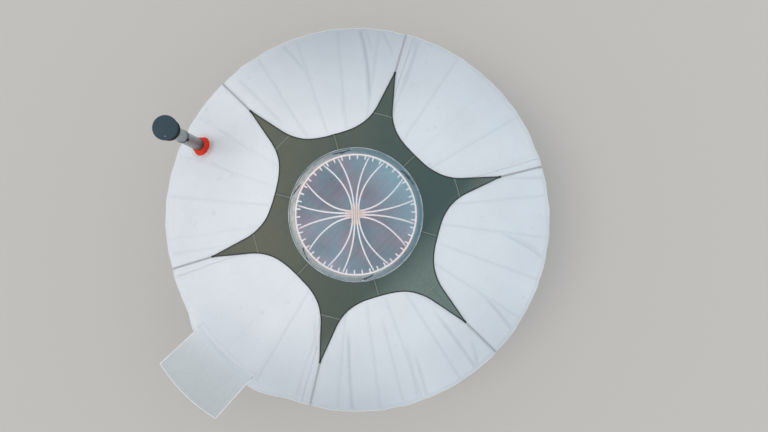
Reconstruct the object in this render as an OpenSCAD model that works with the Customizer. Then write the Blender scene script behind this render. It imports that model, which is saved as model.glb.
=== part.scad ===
// A round lattice-walled tent with a star-shaped cap cover, a clear crown dome and a stove flue.
// The origin is on the ground under the middle of the floor. The door faces -Y and +Z is up.

/* [Platform] */
// Distance that the floor reaches past the middle of the lattice
floor_lap = 8; // [0:1:10]
// Height of the joists and of the rim board
joist_h = 150; // [100:1:200]
// Width of one joist
joist_w = 45; // [35:1:60]
// Distance from one joist to the next
joist_pitch = 470; // [380:1:600]
// Thickness of the rim board
rim_t = 28; // [18:1:40]
// Thickness of the floor boards
board_t = 28; // [18:1:40]

/* [Lattice wall] */
// Number of rafters, and of lattice cells round the wall
rafter_count = 46; // [42:4:50]
// Radius at the middle of the lattice's two layers
lattice_r = 2820; // [2700:1:2900]
// Width of a lattice lath
lath_w = 30; // [20:1:40]
// Thickness of a lattice lath
lath_t = 10; // [7:0.5:14]
// Angle of the lattice laths above the horizontal
lath_angle = 51; // [49:0.5:52]
// Rows of crossings from the bottom to the top of the lattice
crossing_rows = 8; // [8:1:8]
// Length of a lath past its last crossing
lath_horn = 62; // [50:1:80]

/* [Crown] */
// Outer radius of the crown ring
crown_r = 802; // [770:1:835]
// Radial thickness of the crown ring
crown_t = 30; // [24:1:40]
// Height of the crown ring
crown_h = 86; // [70:1:100]
// Height of the crown ring's middle above the ground
crown_z = 3062; // [2950:1:3150]
// Width of a crown lath
crown_lath_w = 17; // [12:1:20]
// Thickness of a crown lath
crown_lath_t = 12; // [9:1:15]
// Height that the crown laths arch above the ring's middle
crown_arch = 185; // [140:1:215]
// Distance between crown laths where they cross at the middle
crown_lath_pitch = 26; // [22:1:32]
// Direction of the crown's cross, counted in bays between rafters
cross_axis_bays = 6; // [4:1:8]

/* [Rafters] */
// Diameter of a rafter pole
rafter_d = 34; // [28:1:40]
// Diameter of a rafter where it meets the crown ring
rafter_top_d = 26; // [22:1:30]
// Side of the square tip that passes through the crown ring
tip_w = 15; // [12:0.5:17]
// Length of the tip that shows inside the crown ring
tip_reach = 45; // [20:1:70]
// Length of a rafter past the lattice
rafter_tail = 22; // [15:1:26]

/* [Covers] */
// Thickness of the wall's canvas and felt together
wall_t = 12; // [8:1:16]
// Height of the wall cover's lower hem above the ground
wall_hem_z = 40; // [20:1:100]
// Thickness of the roof canvas
roof_t = 3; // [2:0.5:5]
// Distance from the rafter ends to the roof's shoulder
shoulder_out = 18; // [12:1:30]
// Distance that the eave hem flares past the shoulder
hem_out = 90; // [50:1:120]
// Height of the eave hem below the shoulder
hem_drop = 140; // [90:1:180]
// Thickness of the star cap
star_t = 3; // [2:0.5:5]
// Radius of the star at its points
star_tip_r = 2172; // [2000:1:2300]
// Radius of the star at its hollows
star_valley_r = 1120; // [1050:1:1200]
// Width of each arm's root across half a hollow, where the edge's curve ends
star_curve_w = 735; // [650:1:800]
// Distance that the edge's curve runs outwards from the hollow
star_curve_out = 335; // [250:1:400]
// Width of a hold-down strap
strap_w = 28; // [20:1:40]
// Thickness of a hold-down strap
strap_t = 2; // [1.5:0.5:3]
// Width of a wall belt
belt_w = 50; // [30:1:80]
// Thickness of a wall belt
belt_t = 3; // [2:0.5:4]

/* [Dome] */
// Distance that the dome's lip reaches past the crown ring
dome_lip_out = 74; // [60:1:90]
// Distance from the outside of the crown ring to where the dome rises from its lip
dome_foot_out = 10; // [-5:1:20]
// Depth that the lip's edge is turned down
lip_turn = 12; // [8:1:16]
// Height of the dome above its lip
dome_rise = 270; // [240:1:300]
// Thickness of the dome sheet
dome_t = 5; // [4:0.5:8]
// Thickness of the gathered collar under the lip
collar_t = 6; // [4:0.5:10]

/* [Door] */
// Width of the door frame over its posts
door_frame_w = 958; // [940:1:970]
// Width of a post's face
post_w = 70; // [50:1:80]
// Depth of the frame through the wall
post_d = 84; // [76:1:95]
// Height of the threshold
threshold_h = 40; // [30:1:60]
// Thickness of the lintel
lintel_h = 70; // [60:1:90]
// Thickness of the door leaf
leaf_t = 44; // [36:1:54]
// Depth and width of the rebate that the leaf closes into
rebate = 12; // [8:1:16]
// Gap between the leaf and the frame's sides
leaf_gap = 4; // [3:0.5:6]
// Width of the boards round the leaf's panels
stile_w = 96; // [80:1:120]
// Depth of the leaf's panels below its face
panel_recess = 8; // [4:0.5:14]
// Height of the handle above the foot of the leaf
handle_h = 950; // [850:1:1050]
// Height of the plate behind the handle
handle_plate_h = 180; // [140:1:220]
// Diameter of a hinge
hinge_d = 14; // [10:1:18]
// Height of a hinge
hinge_h = 100; // [80:1:140]

/* [Awning] */
// Distance that the awning reaches past the door frame on each side at the eave
awning_side = 66; // [50:1:90]
// Distance that each side of the awning flares out to its front
awning_flare = 40; // [10:1:70]
// Distance from the roof's shoulder to the awning's front edge
awning_reach = 810; // [700:1:900]
// Drop of the awning's sides from the shoulder to the front
awning_drop = 60; // [20:1:120]
// Rise of the awning's middle above its sides at the front
awning_arch = 75; // [40:1:110]
// Thickness of the awning's canvas
awning_t = 3; // [2:0.5:5]
// Diameter of the awning's wooden rails
awning_rail_d = 26; // [20:1:32]
// Distance from the lintel down to the foot of the awning's struts
strut_drop = 420; // [300:1:600]

/* [Flue] */
// Distance from the middle of the lattice in to the middle of the flue
flue_inset = 279; // [240:1:340]
// Direction of the flue from the centre
flue_angle = 200.2; // [199.2:0.1:200.4]
// Outer diameter of the flue pipe
flue_d = 170; // [150:1:180]
// Bore of the flue pipe
flue_bore = 125; // [100:1:140]
// Height of the flue's open top above the ground
flue_top_z = 3450; // [3200:1:3600]
// Height of the flue's lower end above the ground
flue_foot_z = 1800; // [1700:1:1880]
// Height of the joint between the two flue lengths
flue_joint_z = 2960; // [2850:1:3050]
// Diameter of the red boot round the flue
boot_d = 290; // [270:1:320]
// Height of the boot above the roof
boot_h = 150; // [120:1:180]
// Diameter of the rain cap's disc
cap_d = 312; // [290:1:330]
// Diameter of the cap's drum skirt
cap_drum_d = 262; // [240:1:280]

/* [Hidden] */
fit = 0.3;
$fn = 192;

bay = 360 / rafter_count;
half_bay = bay / 2;
function panel_bay(i) = round(i * rafter_count / 6);
floor_z = joist_h + board_t;
floor_r = lattice_r + floor_lap;
flue_r = lattice_r - flue_inset;
dome_lip_r = crown_r + dome_lip_out;
dome_foot_r = crown_r + dome_foot_out;
awning_w_eave = door_frame_w + 2 * awning_side;
awning_w_front = awning_w_eave + 2 * awning_flare;

// Lattice: laths are slabs that cut a thin round shell, so each one follows the wall's curve
crossing_span = (crossing_rows - 1) * half_bay;
lattice_half_h = lattice_r * tan(lath_angle) * sin(crossing_span / 2);
lattice_foot = lath_horn * sin(lath_angle);
lattice_mid_z = floor_z + lattice_foot + lattice_half_h;
top_crossing_z = lattice_mid_z + lattice_half_h;
lattice_in_r = lattice_r - lath_t;
lattice_out_r = lattice_r + lath_t;
crotch_z = top_crossing_z + lath_w / 2 / cos(lath_angle);

// Roof slope: rafters sit in the lattice crotches and end in the crown ring
seat_rise = 12;
eave_z = crotch_z + rafter_d / 2 / cos(lath_angle) + seat_rise;
pitch = atan((crown_z - eave_z) / (lattice_r - crown_r));
function axis_z(r) = eave_z + (lattice_r - r) * tan(pitch);
rafter_end_r = lattice_out_r + rafter_tail;
shoulder_r = rafter_end_r + shoulder_out;
awning_front = shoulder_r + awning_reach;
hem_r = shoulder_r + hem_out;
roof_in_r = crown_r + 8;
roof_lift = rafter_d / 2 / cos(pitch) + fit;
function roof_z(r) = axis_z(r) + roof_lift;
hem_z = roof_z(shoulder_r) - hem_drop;
roof_rise_t = roof_t / cos(pitch);
star_rise_t = star_t / cos(pitch);
ring_top_z = crown_z + crown_h / 2;

// The roof is flat between rafters: how much nearer the centre an edge lies at angle a than on a rafter
function bay_mid(a) = (floor(a / bay + 0.001) + 0.5) * bay;
function flatness(a) = cos(half_bay) / cos(a - bay_mid(a));
function panel_z(r, a) = roof_z(r / flatness(a));

// Door: the gap in the wall ends half way between two columns of crossings
door_angle = 270;
gap_columns = 5;
wall_columns = rafter_count * 2 - gap_columns;
// How far the wall goes on past its last columns before it would meet the horns of the column left out
horn_w = lath_horn * cos(lath_angle) + lath_w / 2 / sin(lath_angle);
door_lap = half_bay / 2 - asin(horn_w / lattice_r);
function section_angle(i) = door_angle + gap_columns / 2 * half_bay + round(i * wall_columns / 4) * half_bay;
frame_back_y = -sqrt(lattice_out_r * lattice_out_r - pow(door_frame_w / 2, 2)) + post_d / 2 + 4;
frame_front_y = frame_back_y - post_d;
lintel_top_z = axis_z(-frame_front_y / cos(half_bay)) - rafter_d / 2 / cos(pitch) - fit;
lintel_z = lintel_top_z - lintel_h;
wall_in_r = lattice_out_r + 2;
wall_out_r = wall_in_r + wall_t;
wall_top_z = axis_z(wall_out_r) - rafter_d / 2 / cos(pitch) - 1;
leaf_w = door_frame_w - 2 * post_w + 2 * rebate - 2 * leaf_gap;
leaf_foot_z = floor_z + threshold_h + leaf_gap;
leaf_h = lintel_z + rebate - leaf_gap - leaf_foot_z;
leaf_front_y = frame_front_y + 6;

// A round tube from z0 to z1
module tube(r_out, r_in, z0, z1) {
    translate([0, 0, z0])
        difference() {
            cylinder(h = z1 - z0, r = r_out);
            translate([0, 0, -1]) cylinder(h = z1 - z0 + 2, r = r_in);
        }
}

// A tall wedge between two directions, wide enough to hold the whole wall
module sector(from, to) {
    reach = hem_r * 1.2;
    steps = ceil((to - from) / 45);
    translate([0, 0, -1])
        linear_extrude(crown_z * 1.5)
            polygon(concat([[0, 0]], [for (k = [0:steps])
                let (a = from + (to - from) * k / steps) reach * [cos(a), sin(a)]]));
}

// The space of the door frame through the wall
module door_gap(extra) {
    w = door_frame_w + 2 * extra;
    translate([-w / 2, -hem_r * 1.2, -1]) cube([w, hem_r, crown_z * 1.5]);
}

module floor_joists() {
    color("burlywood")
        for (k = [-floor((floor_r - rim_t) / joist_pitch):floor((floor_r - rim_t) / joist_pitch)])
            let (y = k * joist_pitch)
                intersection() {
                    cylinder(h = joist_h, r = floor_r - rim_t - fit);
                    translate([-floor_r, y - joist_w / 2, 0]) cube([2 * floor_r, joist_w, joist_h]);
                }
}

module platform_rim() {
    color("peru") tube(floor_r, floor_r - rim_t, 0, joist_h);
}

module floor_boards() {
    color("tan") translate([0, 0, joist_h]) cylinder(h = board_t, r = floor_r);
}

// One layer of laths between two directions, which all lean the way of lean and end under the rafters
module lath_layer(r_in, r_out, lean, a0, a1) {
    reach = crossing_span / 2;
    first = floor((a0 - reach) / bay) - 1;
    last = ceil((a1 + reach) / bay) + 1;
    lath_len = 2 * (lattice_half_h + lattice_foot) / sin(lath_angle) + 2 * lath_w;
    lath_depth = lattice_r / 16;
    intersection() {
        tube(r_out, r_in, floor_z, top_crossing_z + lattice_foot);
        for (k = [first:last])
            rotate(k * bay - lean * crossing_span / 2)
                translate([(r_in + r_out) / 2, 0, lattice_mid_z])
                    rotate([lean * lath_angle, 0, 0])
                        translate([-lath_depth / 2, -lath_len / 2, -lath_w / 2]) cube([lath_depth, lath_len, lath_w]);
    }
}

module lattice(i) {
    a0 = section_angle(i - 1);
    a1 = section_angle(i);
    color("burlywood")
        difference() {
            intersection() {
                union() {
                    lath_layer(lattice_in_r, lattice_r + 0.5, 1, a0, a1);
                    lath_layer(lattice_r - 0.5, lattice_out_r, -1, a0, a1);
                }
                sector(a0 - (i == 1 ? door_lap : 0), a1 + (i == 4 ? door_lap : 0));
            }
            door_gap(fit);
        }
}

module wall_canvas(i) {
    color("whitesmoke")
        difference() {
            intersection() {
                tube(wall_out_r, wall_in_r, wall_hem_z, wall_top_z);
                sector(section_angle(i - 1) - (i == 1 ? half_bay : 0), section_angle(i) + (i == 4 ? half_bay : 0));
            }
            door_gap(fit);
        }
}

module wall_belts() {
    color("slategray")
        difference() {
            for (z = [0.36, 0.7] * wall_top_z)
                tube(wall_out_r + fit + belt_t, wall_out_r + fit, z, z + belt_w);
            door_gap(fit);
        }
}

module door_post(side) {
    color("sienna")
        translate([side * door_frame_w / 2, 0, floor_z])
            mirror([side > 0 ? 1 : 0, 0, 0])
                linear_extrude(lintel_z - floor_z)
                    polygon([
                        [0, frame_front_y], [post_w - rebate, frame_front_y],
                        [post_w - rebate, leaf_front_y + leaf_t + fit],
                        [post_w, leaf_front_y + leaf_t + fit],
                        [post_w, frame_back_y], [0, frame_back_y]
                    ]);
}

module door_lintel() {
    color("sienna")
        difference() {
            translate([-door_frame_w / 2, frame_front_y, lintel_z]) cube([door_frame_w, post_d, lintel_h]);
            translate([-leaf_w / 2 - leaf_gap, frame_front_y - 1, lintel_z - 1])
                cube([leaf_w + 2 * leaf_gap, leaf_front_y + leaf_t + fit - frame_front_y + 1, rebate + 1]);
        }
}

module door_threshold() {
    inner = door_frame_w / 2 - post_w;
    color("sienna")
        translate([-inner + fit, 0, floor_z])
            rotate([90, 0, 90])
                linear_extrude(2 * inner - 2 * fit)
                    polygon([
                        [frame_back_y, 0], [frame_back_y, threshold_h],
                        [leaf_front_y + leaf_t + fit, threshold_h],
                        [leaf_front_y + leaf_t + fit, threshold_h - rebate],
                        [frame_front_y, threshold_h - rebate - 4], [frame_front_y, 0]
                    ]);
}

module door_leaf() {
    color("peru")
        difference() {
            translate([-leaf_w / 2, leaf_front_y, leaf_foot_z]) cube([leaf_w, leaf_t, leaf_h]);
            for (y = [leaf_front_y - 1, leaf_front_y + leaf_t - panel_recess])
                for (part = [0, 1])
                    translate([-leaf_w / 2 + stile_w, y, leaf_foot_z + stile_w + part * (leaf_h - stile_w) / 2])
                        cube([leaf_w - 2 * stile_w, panel_recess + 1, (leaf_h - stile_w) / 2 - stile_w]);
        }
}

module door_hinges() {
    color("dimgray")
        for (k = [0.12, 0.5, 0.88])
            translate([-leaf_w / 2 - leaf_gap, frame_front_y - hinge_d / 2 - fit, leaf_foot_z + k * leaf_h - hinge_h / 2])
                cylinder(h = hinge_h, d = hinge_d);
}

module door_handle() {
    z = leaf_foot_z + handle_h;
    x = leaf_w / 2 - stile_w / 2;
    back = leaf_front_y - fit;
    plate = [40, 6, handle_plate_h];
    stem_l = 50;
    grip = [120, 16, 18];
    color("dimgray") {
        translate([x - plate[0] / 2, back - plate[1], z - plate[2] / 2]) cube(plate);
        translate([x, back, z]) rotate([90, 0, 0]) cylinder(h = stem_l, d = grip[2]);
        translate([x + 10 - grip[0], back - stem_l - grip[1] / 2, z - grip[2] / 2]) cube(grip);
    }
}

// A pole from the wall to the crown, with a square tip that passes through the ring
module rafter() {
    shoulder = crown_r + rafter_top_d / 2 * sin(pitch) + fit;
    len = (rafter_end_r - shoulder) / cos(pitch);
    tip_len = (shoulder - (crown_r - crown_t - tip_reach)) / cos(pitch);
    translate([shoulder, 0, axis_z(shoulder)])
        rotate([0, 90 + pitch, 0]) {
            cylinder(h = len * 0.12, r1 = rafter_top_d / 2, r2 = rafter_d / 2);
            translate([0, 0, len * 0.12]) cylinder(h = len * 0.88, r = rafter_d / 2);
            translate([-tip_w / 2, -tip_w / 2, -tip_len]) cube([tip_w, tip_w, tip_len + 5]);
        }
}

module rafters(i) {
    color("burlywood")
        for (k = [round((i - 1) * rafter_count / 4):round(i * rafter_count / 4) - 1])
            rotate(k * bay) rafter();
}

module crown_ring() {
    color("navajowhite")
        difference() {
            tube(crown_r, crown_r - crown_t, crown_z - crown_h / 2, ring_top_z);
            for (k = [0:rafter_count - 1])
                rotate(k * bay)
                    translate([crown_r, 0, axis_z(crown_r)])
                        rotate([0, 90 + pitch, 0])
                            translate([-tip_w / 2 - fit, -tip_w / 2 - fit, -3 * crown_t])
                                cube([tip_w + 2 * fit, tip_w + 2 * fit, 6 * crown_t]);
            crown_sockets(cross_axis_bays, lower_set, 0);
            crown_sockets(cross_axis_bays + rafter_count / 4, upper_set, upper_lift);
        }
}

// The route of one crown lath: it starts off the axis at the middle and bends out towards the ring
lath_tenon = crown_t / 2 - 1;
lath_reach = crown_r - crown_t + lath_tenon;
lath_foot_z = crown_z + crown_h / 10;
function lath_y(s, y0, end_angle) = y0 + (lath_reach * sin(end_angle) - y0) * pow(s, 2.2);
function lath_x(s, end_angle) = lath_reach * cos(end_angle) * s;
function lath_z(s, lift) = lath_foot_z + (lift + crown_arch) * (1 - s * s);

// One bent lath as a swept flat section
module crown_lath(y0, end_angle, lift) {
    rings = 14;
    w = crown_lath_w / 2;
    t = crown_lath_t / 2;
    stations = [for (k = [-rings:rings]) k / rings];
    path = [for (s = stations) [sign(s) * lath_x(abs(s), end_angle), lath_y(abs(s), y0, end_angle), lath_z(abs(s), lift)]];
    last = len(path) - 1;
    points = [for (k = [0:last])
        let (
            ahead = path[min(k + 1, last)] - path[max(k - 1, 0)],
            dir = ahead / norm(ahead),
            side = [-dir[1], dir[0], 0] / norm([dir[0], dir[1]]),
            up = cross(dir, side)
        ) each [path[k] - side * w - up * t, path[k] + side * w - up * t,
                path[k] + side * w + up * t, path[k] - side * w + up * t]];
    sides = [for (k = [0:last - 1], j = [0:3])
        [4 * k + j, 4 * k + (j + 1) % 4, 4 * (k + 1) + (j + 1) % 4, 4 * (k + 1) + j]];
    polyhedron(points, concat([[3, 2, 1, 0]], sides, [[4 * last, 4 * last + 1, 4 * last + 2, 4 * last + 3]]));
}

// Each set of laths: [offset at the middle, angle at the end], so that every end lies between two rafter tips
lower_set = [[crown_lath_pitch / 2, 1.5 * bay], [crown_lath_pitch * 3 / 2, 4.5 * bay]];
upper_set = [[crown_lath_pitch / 2, 2 * bay], [crown_lath_pitch * 3 / 2, 4 * bay]];
upper_lift = crown_lath_t + 1;
module crown_laths(axis_bays, set, lift) {
    rotate(axis_bays * bay)
        for (side = [0, 1], lath = set)
            mirror([0, side, 0]) crown_lath(lath[0], lath[1], lift);
}

// The sockets in the crown ring that the ends of one set of laths go into
module crown_sockets(axis_bays, set, lift) {
    near = 0.98;
    rotate(axis_bays * bay)
        for (side = [0, 1], turn = [0, 1], lath = set)
            mirror([0, side, 0])
                mirror([turn, 0, 0]) {
                    end = [lath_x(1, lath[1]), lath_y(1, lath[0], lath[1]), lath_z(1, lift)];
                    before = [lath_x(near, lath[1]), lath_y(near, lath[0], lath[1]), lath_z(near, lift)];
                    d = end - before;
                    translate(end)
                        rotate([0, -asin(d[2] / norm(d)), atan2(d[1], d[0])])
                            translate([-60, -crown_lath_w / 2 - 1, -crown_lath_t / 2 - 1])
                                cube([61, crown_lath_w + 2, crown_lath_t + 2]);
                }
}

module crown_laths_lower() {
    color("navajowhite") crown_laths(cross_axis_bays, lower_set, 0);
}

module crown_laths_upper() {
    color("navajowhite") crown_laths(cross_axis_bays + rafter_count / 4, upper_set, upper_lift);
}

// A thin shell over the bays from bay b0 on: flat panels between ridges that lie over the rafters.
// profile lists [radius and height of the underside, height and overhang of the top over it] from the inside out.
module bay_shell(b0, bays, profile) {
    n = len(profile);
    points = [for (k = [0:bays], p = profile)
        let (a = (b0 + k) * bay)
            each [[p[0] * cos(a), p[0] * sin(a), p[1]], [(p[0] + p[3]) * cos(a), (p[0] + p[3]) * sin(a), p[1] + p[2]]]];
    row = 2 * n;
    under = [for (k = [0:bays - 1], j = [0:n - 2])
        [k * row + 2 * j, (k + 1) * row + 2 * j, (k + 1) * row + 2 * j + 2, k * row + 2 * j + 2]];
    over = [for (k = [0:bays - 1], j = [0:n - 2])
        [k * row + 2 * j + 1, k * row + 2 * j + 3, (k + 1) * row + 2 * j + 3, (k + 1) * row + 2 * j + 1]];
    inner = [for (k = [0:bays - 1]) [k * row, k * row + 1, (k + 1) * row + 1, (k + 1) * row]];
    outer = [for (k = [0:bays - 1])
        [k * row + row - 2, (k + 1) * row + row - 2, (k + 1) * row + row - 1, k * row + row - 1]];
    start = [for (j = [0:n - 2]) [2 * j, 2 * j + 2, 2 * j + 3, 2 * j + 1]];
    end = [for (j = [0:n - 2]) let (b = bays * row) [b + 2 * j, b + 2 * j + 1, b + 2 * j + 3, b + 2 * j + 2]];
    polyhedron(points, concat(under, over, inner, outer, start, end));
}

hem_angle = atan(hem_drop / hem_out);
shoulder_mitre = roof_t / (1 + cos(hem_angle - pitch)) * [sin(pitch) + sin(hem_angle), cos(pitch) + cos(hem_angle)];
roof_profile = [
    [roof_in_r, roof_z(roof_in_r), roof_rise_t, 0],
    [shoulder_r, roof_z(shoulder_r), shoulder_mitre[1], shoulder_mitre[0]],
    [hem_r, hem_z, roof_t * cos(hem_angle), roof_t * sin(hem_angle)]
];

// Where the many-sided edge of radius r runs in front of the door, at x to the right of its middle
function edge_y(x, r) = let (m = bay_mid(door_angle + asin(x / r))) (r * cos(half_bay) - x * cos(m)) / sin(m);
// The corners of that edge, and the ends of a stretch of it that is w wide on each side
function edge_corners(r, w) = [-w, -r * sin(half_bay), r * sin(half_bay), w];

module roof_panel(i) {
    color("whitesmoke")
        difference() {
            bay_shell(panel_bay(i - 1), panel_bay(i) - panel_bay(i - 1), roof_profile);
            if (i == 5) awning_gap();
            if (i == 4) rotate(flue_angle) translate([flue_r, 0, 0]) cylinder(h = flue_top_z, d = flue_d + 2);
        }
}

// The part of the eave hem that gives way to the awning
module awning_gap() {
    w = awning_w_eave / 2 + fit;
    translate([0, 0, hem_z - 20])
        linear_extrude(hem_drop + 60)
            polygon(concat(
                [[w, -hem_r - 50], [-w, -hem_r - 50]],
                [for (x = edge_corners(shoulder_r + 2, w)) [x, edge_y(x, shoulder_r + 2)]]
            ));
}

// The star's edge in one hollow: a curve on each side of its middle, then straight to the arms' points
star_curve_end = [star_valley_r + star_curve_out, star_curve_w];
star_curve_power = 2.9;
star_steps = 3;
function star_edge_x(y) = star_valley_r
    + (star_curve_end[0] - star_valley_r) * pow(y / star_curve_end[1], star_curve_power);
// Where a line at angle a from the hollow's middle meets the curved part of the edge
function star_edge_y(a, y, tries) = tries == 0 ? y : star_edge_y(a, star_edge_x(y) * tan(a), tries - 1);
function star_edge_r(a) =
    let (
        end_a = atan2(star_curve_end[1], star_curve_end[0]),
        tip = star_tip_r * [cos(30), sin(30)],
        along = tip - star_curve_end
    )
    a <= end_a
        ? star_edge_x(star_edge_y(a, 0, 20)) / cos(a)
        : (star_curve_end[0] * along[1] - star_curve_end[1] * along[0]) / (cos(a) * along[1] - sin(a) * along[0]);

module star_cap() {
    lift = roof_rise_t + fit;
    inner_r = dome_lip_r - 8;
    n = rafter_count * star_steps;
    points = [for (k = [0:n - 1])
        let (a = k * 360 / n, hollow = abs(a % 60 - 30))
            for (r = [inner_r, star_edge_r(hollow)], up = [0, star_rise_t])
                [r * cos(a), r * sin(a), panel_z(r, a) + lift + up]];
    faces = [for (k = [0:n - 1])
        let (a = 4 * k, b = 4 * ((k + 1) % n))
            each [
                [a, b, b + 2], [a, b + 2, a + 2], [a + 1, b + 3, b + 1], [a + 1, a + 3, b + 3],
                [a, a + 1, b + 1, b], [a + 2, b + 2, b + 3, a + 3]
            ]];
    color("darkolivegreen") polyhedron(points, faces);
}

// A strap lies on the roof from the star's point to the hem, then runs down taut to the foot of the wall
module star_straps() {
    lift = roof_rise_t + 2 * fit;
    up = strap_t / cos(pitch);
    hem_lift = roof_t + 1.6;
    foot_r = wall_out_r + 2 * fit;
    foot_z = 0.12 * wall_top_z;
    foot_h = 40;
    color("slategray")
        for (k = [0:5])
            let (f = flatness(60 * k), start = (star_tip_r + 2) / f)
                rotate(60 * k)
                    translate([0, strap_w / 2, 0])
                        rotate([90, 0, 0])
                            linear_extrude(strap_w)
                                polygon([
                                    [start * f, roof_z(start) + lift],
                                    [(shoulder_r + 2) * f, roof_z(shoulder_r) + lift],
                                    [hem_r * f + hem_lift, hem_z],
                                    [foot_r, foot_z + foot_h], [foot_r, foot_z],
                                    [foot_r + strap_t, foot_z], [foot_r + strap_t, foot_z + foot_h],
                                    [hem_r * f + hem_lift + strap_t, hem_z],
                                    [(shoulder_r + 3) * f, roof_z(shoulder_r) + lift + up],
                                    [start * f, roof_z(start) + lift + up]
                                ]);
}

// The gathered cloth that the dome's lip presses onto the crown ring
collar_z = ring_top_z + fit;
module dome_collar() {
    foot_r = dome_lip_r - 14;
    foot_z = roof_z(foot_r) + roof_rise_t + fit;
    color("gainsboro")
        rotate_extrude()
            polygon([
                [crown_r - crown_t + 4, collar_z], [crown_r + 3, collar_z],
                [foot_r, foot_z], [foot_r + 4, foot_z], [foot_r + 4, foot_z + collar_t],
                [crown_r + 6, collar_z + collar_t], [crown_r - crown_t + 4, collar_z + collar_t]
            ]);
}

// A clear dome, thin and shaped like the top of a ball, on a flat lip
lip_z = collar_z + collar_t + fit;
ball_r = (dome_foot_r * dome_foot_r + dome_rise * dome_rise) / (2 * dome_rise);
module dome() {
    foot_angle = asin(dome_foot_r / ball_r);
    inner_angle = acos((ball_r - dome_rise) / (ball_r - dome_t));
    color("lightblue", 0.5)
        translate([0, 0, lip_z])
            rotate_extrude()
                polygon(concat(
                    [for (k = [0:12]) let (a = foot_angle * k / 12)
                        [ball_r * sin(a), ball_r * cos(a) - ball_r + dome_rise]],
                    [
                        [dome_foot_r + 3, dome_t], [dome_lip_r, dome_t], [dome_lip_r, -lip_turn],
                        [dome_lip_r - dome_t, -lip_turn], [dome_lip_r - dome_t, 0]
                    ],
                    [for (k = [12:-1:0]) let (a = inner_angle * k / 12)
                        [(ball_r - dome_t) * sin(a), (ball_r - dome_t) * cos(a) - ball_r + dome_rise]]
                ));
}

// Puts its children on the flue's axis
module at_flue() {
    rotate(flue_angle) translate([flue_r, 0, 0]) children();
}

// The roof's underside height at the flue, on the flat panel between two rafters
flue_cloth_z = panel_z(flue_r, flue_angle);
panel_pitch = atan(tan(pitch) / cos(half_bay));

// Tilts its children to lie along that flat panel
module along_panel() {
    rotate(bay_mid(flue_angle) - flue_angle) rotate([0, panel_pitch, 0]) children();
}

module flue_support() {
    plate_w = flue_r * sin(bay) + rafter_d * 0.6;
    plate_l = 300;
    plate_t = 4;
    color("gray")
        at_flue()
            difference() {
                translate([0, 0, flue_cloth_z - roof_lift - (rafter_d / 2 + fit + 1) / cos(pitch)])
                    along_panel()
                        translate([-plate_l / 2, -plate_w / 2, -plate_t]) cube([plate_l, plate_w, plate_t]);
                cylinder(h = flue_top_z, d = flue_d + 2 * fit);
            }
}

module flue_boot() {
    cloth_top = flue_cloth_z + roof_t / cos(panel_pitch) + 2 * fit;
    steps = 3;
    step_w = 13;
    flange_t = 5;
    color("orangered")
        at_flue()
            difference() {
                union() {
                    translate([0, 0, cloth_top]) along_panel() cylinder(h = flange_t, d = boot_d);
                    difference() {
                        for (s = [0:steps - 1])
                            translate([0, 0, cloth_top - flue_d / 2])
                                cylinder(
                                    h = flue_d / 2 + boot_h * (0.45 + 0.275 * s),
                                    d = flue_d + 16 + 2 * step_w * (steps - 1 - s)
                                );
                        translate([0, 0, cloth_top])
                            along_panel() translate([-boot_d, -boot_d, -boot_d]) cube([2 * boot_d, 2 * boot_d, boot_d]);
                    }
                }
                cylinder(h = flue_top_z, d = flue_d + 2 * fit);
            }
}

module flue_lower() {
    color("silver") at_flue() tube(flue_d / 2, flue_bore / 2, flue_foot_z, flue_joint_z);
}

module flue_upper() {
    color("silver") at_flue() tube(flue_d / 2, flue_bore / 2, flue_joint_z, flue_top_z);
}

module flue_band() {
    band_h = 34;
    color("gray")
        at_flue() {
            tube(flue_d / 2 + fit + 2, flue_d / 2 + fit, flue_joint_z - band_h / 2, flue_joint_z + band_h / 2);
            rotate(-60) translate([flue_d / 2 + fit + 1.5, -14, flue_joint_z - 9]) cube([16, 28, 18]);
        }
}

module flue_cap() {
    drum_z = flue_top_z - 60;
    drum_h = 130;
    disc_z = drum_z + drum_h;
    strut_w = 20;
    color("darkslategray")
        at_flue() {
            tube(flue_d / 2 + fit + 3, flue_d / 2 + fit, drum_z - 30, flue_top_z + 6);
            tube(cap_drum_d / 2, cap_drum_d / 2 - 3, drum_z, disc_z);
            for (k = [0:2])
                rotate(30 + 120 * k)
                    translate([flue_d / 2 + fit + 1, -2, drum_z])
                        cube([cap_drum_d / 2 - flue_d / 2 - 3, 4, strut_w]);
            for (k = [0:2])
                rotate(30 + 120 * k)
                    translate([flue_d / 2 + fit, -strut_w / 2, flue_top_z - 4]) cube([3, strut_w, disc_z - flue_top_z + 6]);
            translate([0, 0, disc_z]) cylinder(h = 14, d = cap_d);
            translate([0, 0, disc_z + 14]) cylinder(h = 26, r1 = cap_d / 2, r2 = 12);
        }
}

// The awning's surface: it leaves the roof at the shoulder and arches up towards its front
awning_rows = 7;
awning_cols = 10;
awning_lap = 40;
function awning_half(s) = (awning_w_eave + (awning_w_front - awning_w_eave) * s) / 2;
function awning_point(s, u, lift) =
    let (
        x = awning_half(max(s, 0)) * u,
        y0 = edge_y(max(-awning_w_eave, min(awning_w_eave, 2 * x)) / 2, shoulder_r),
        y = s < 0 ? y0 + awning_lap : y0 + (-awning_front - y0) * s,
        z0 = roof_z(shoulder_r) + roof_rise_t + 2 * fit,
        z = s < 0 ? z0 + awning_lap * tan(pitch) : z0 - awning_drop * s + awning_arch * pow(s, 0.8) * (1 - u * u)
    ) [x, y, z + lift];

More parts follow.
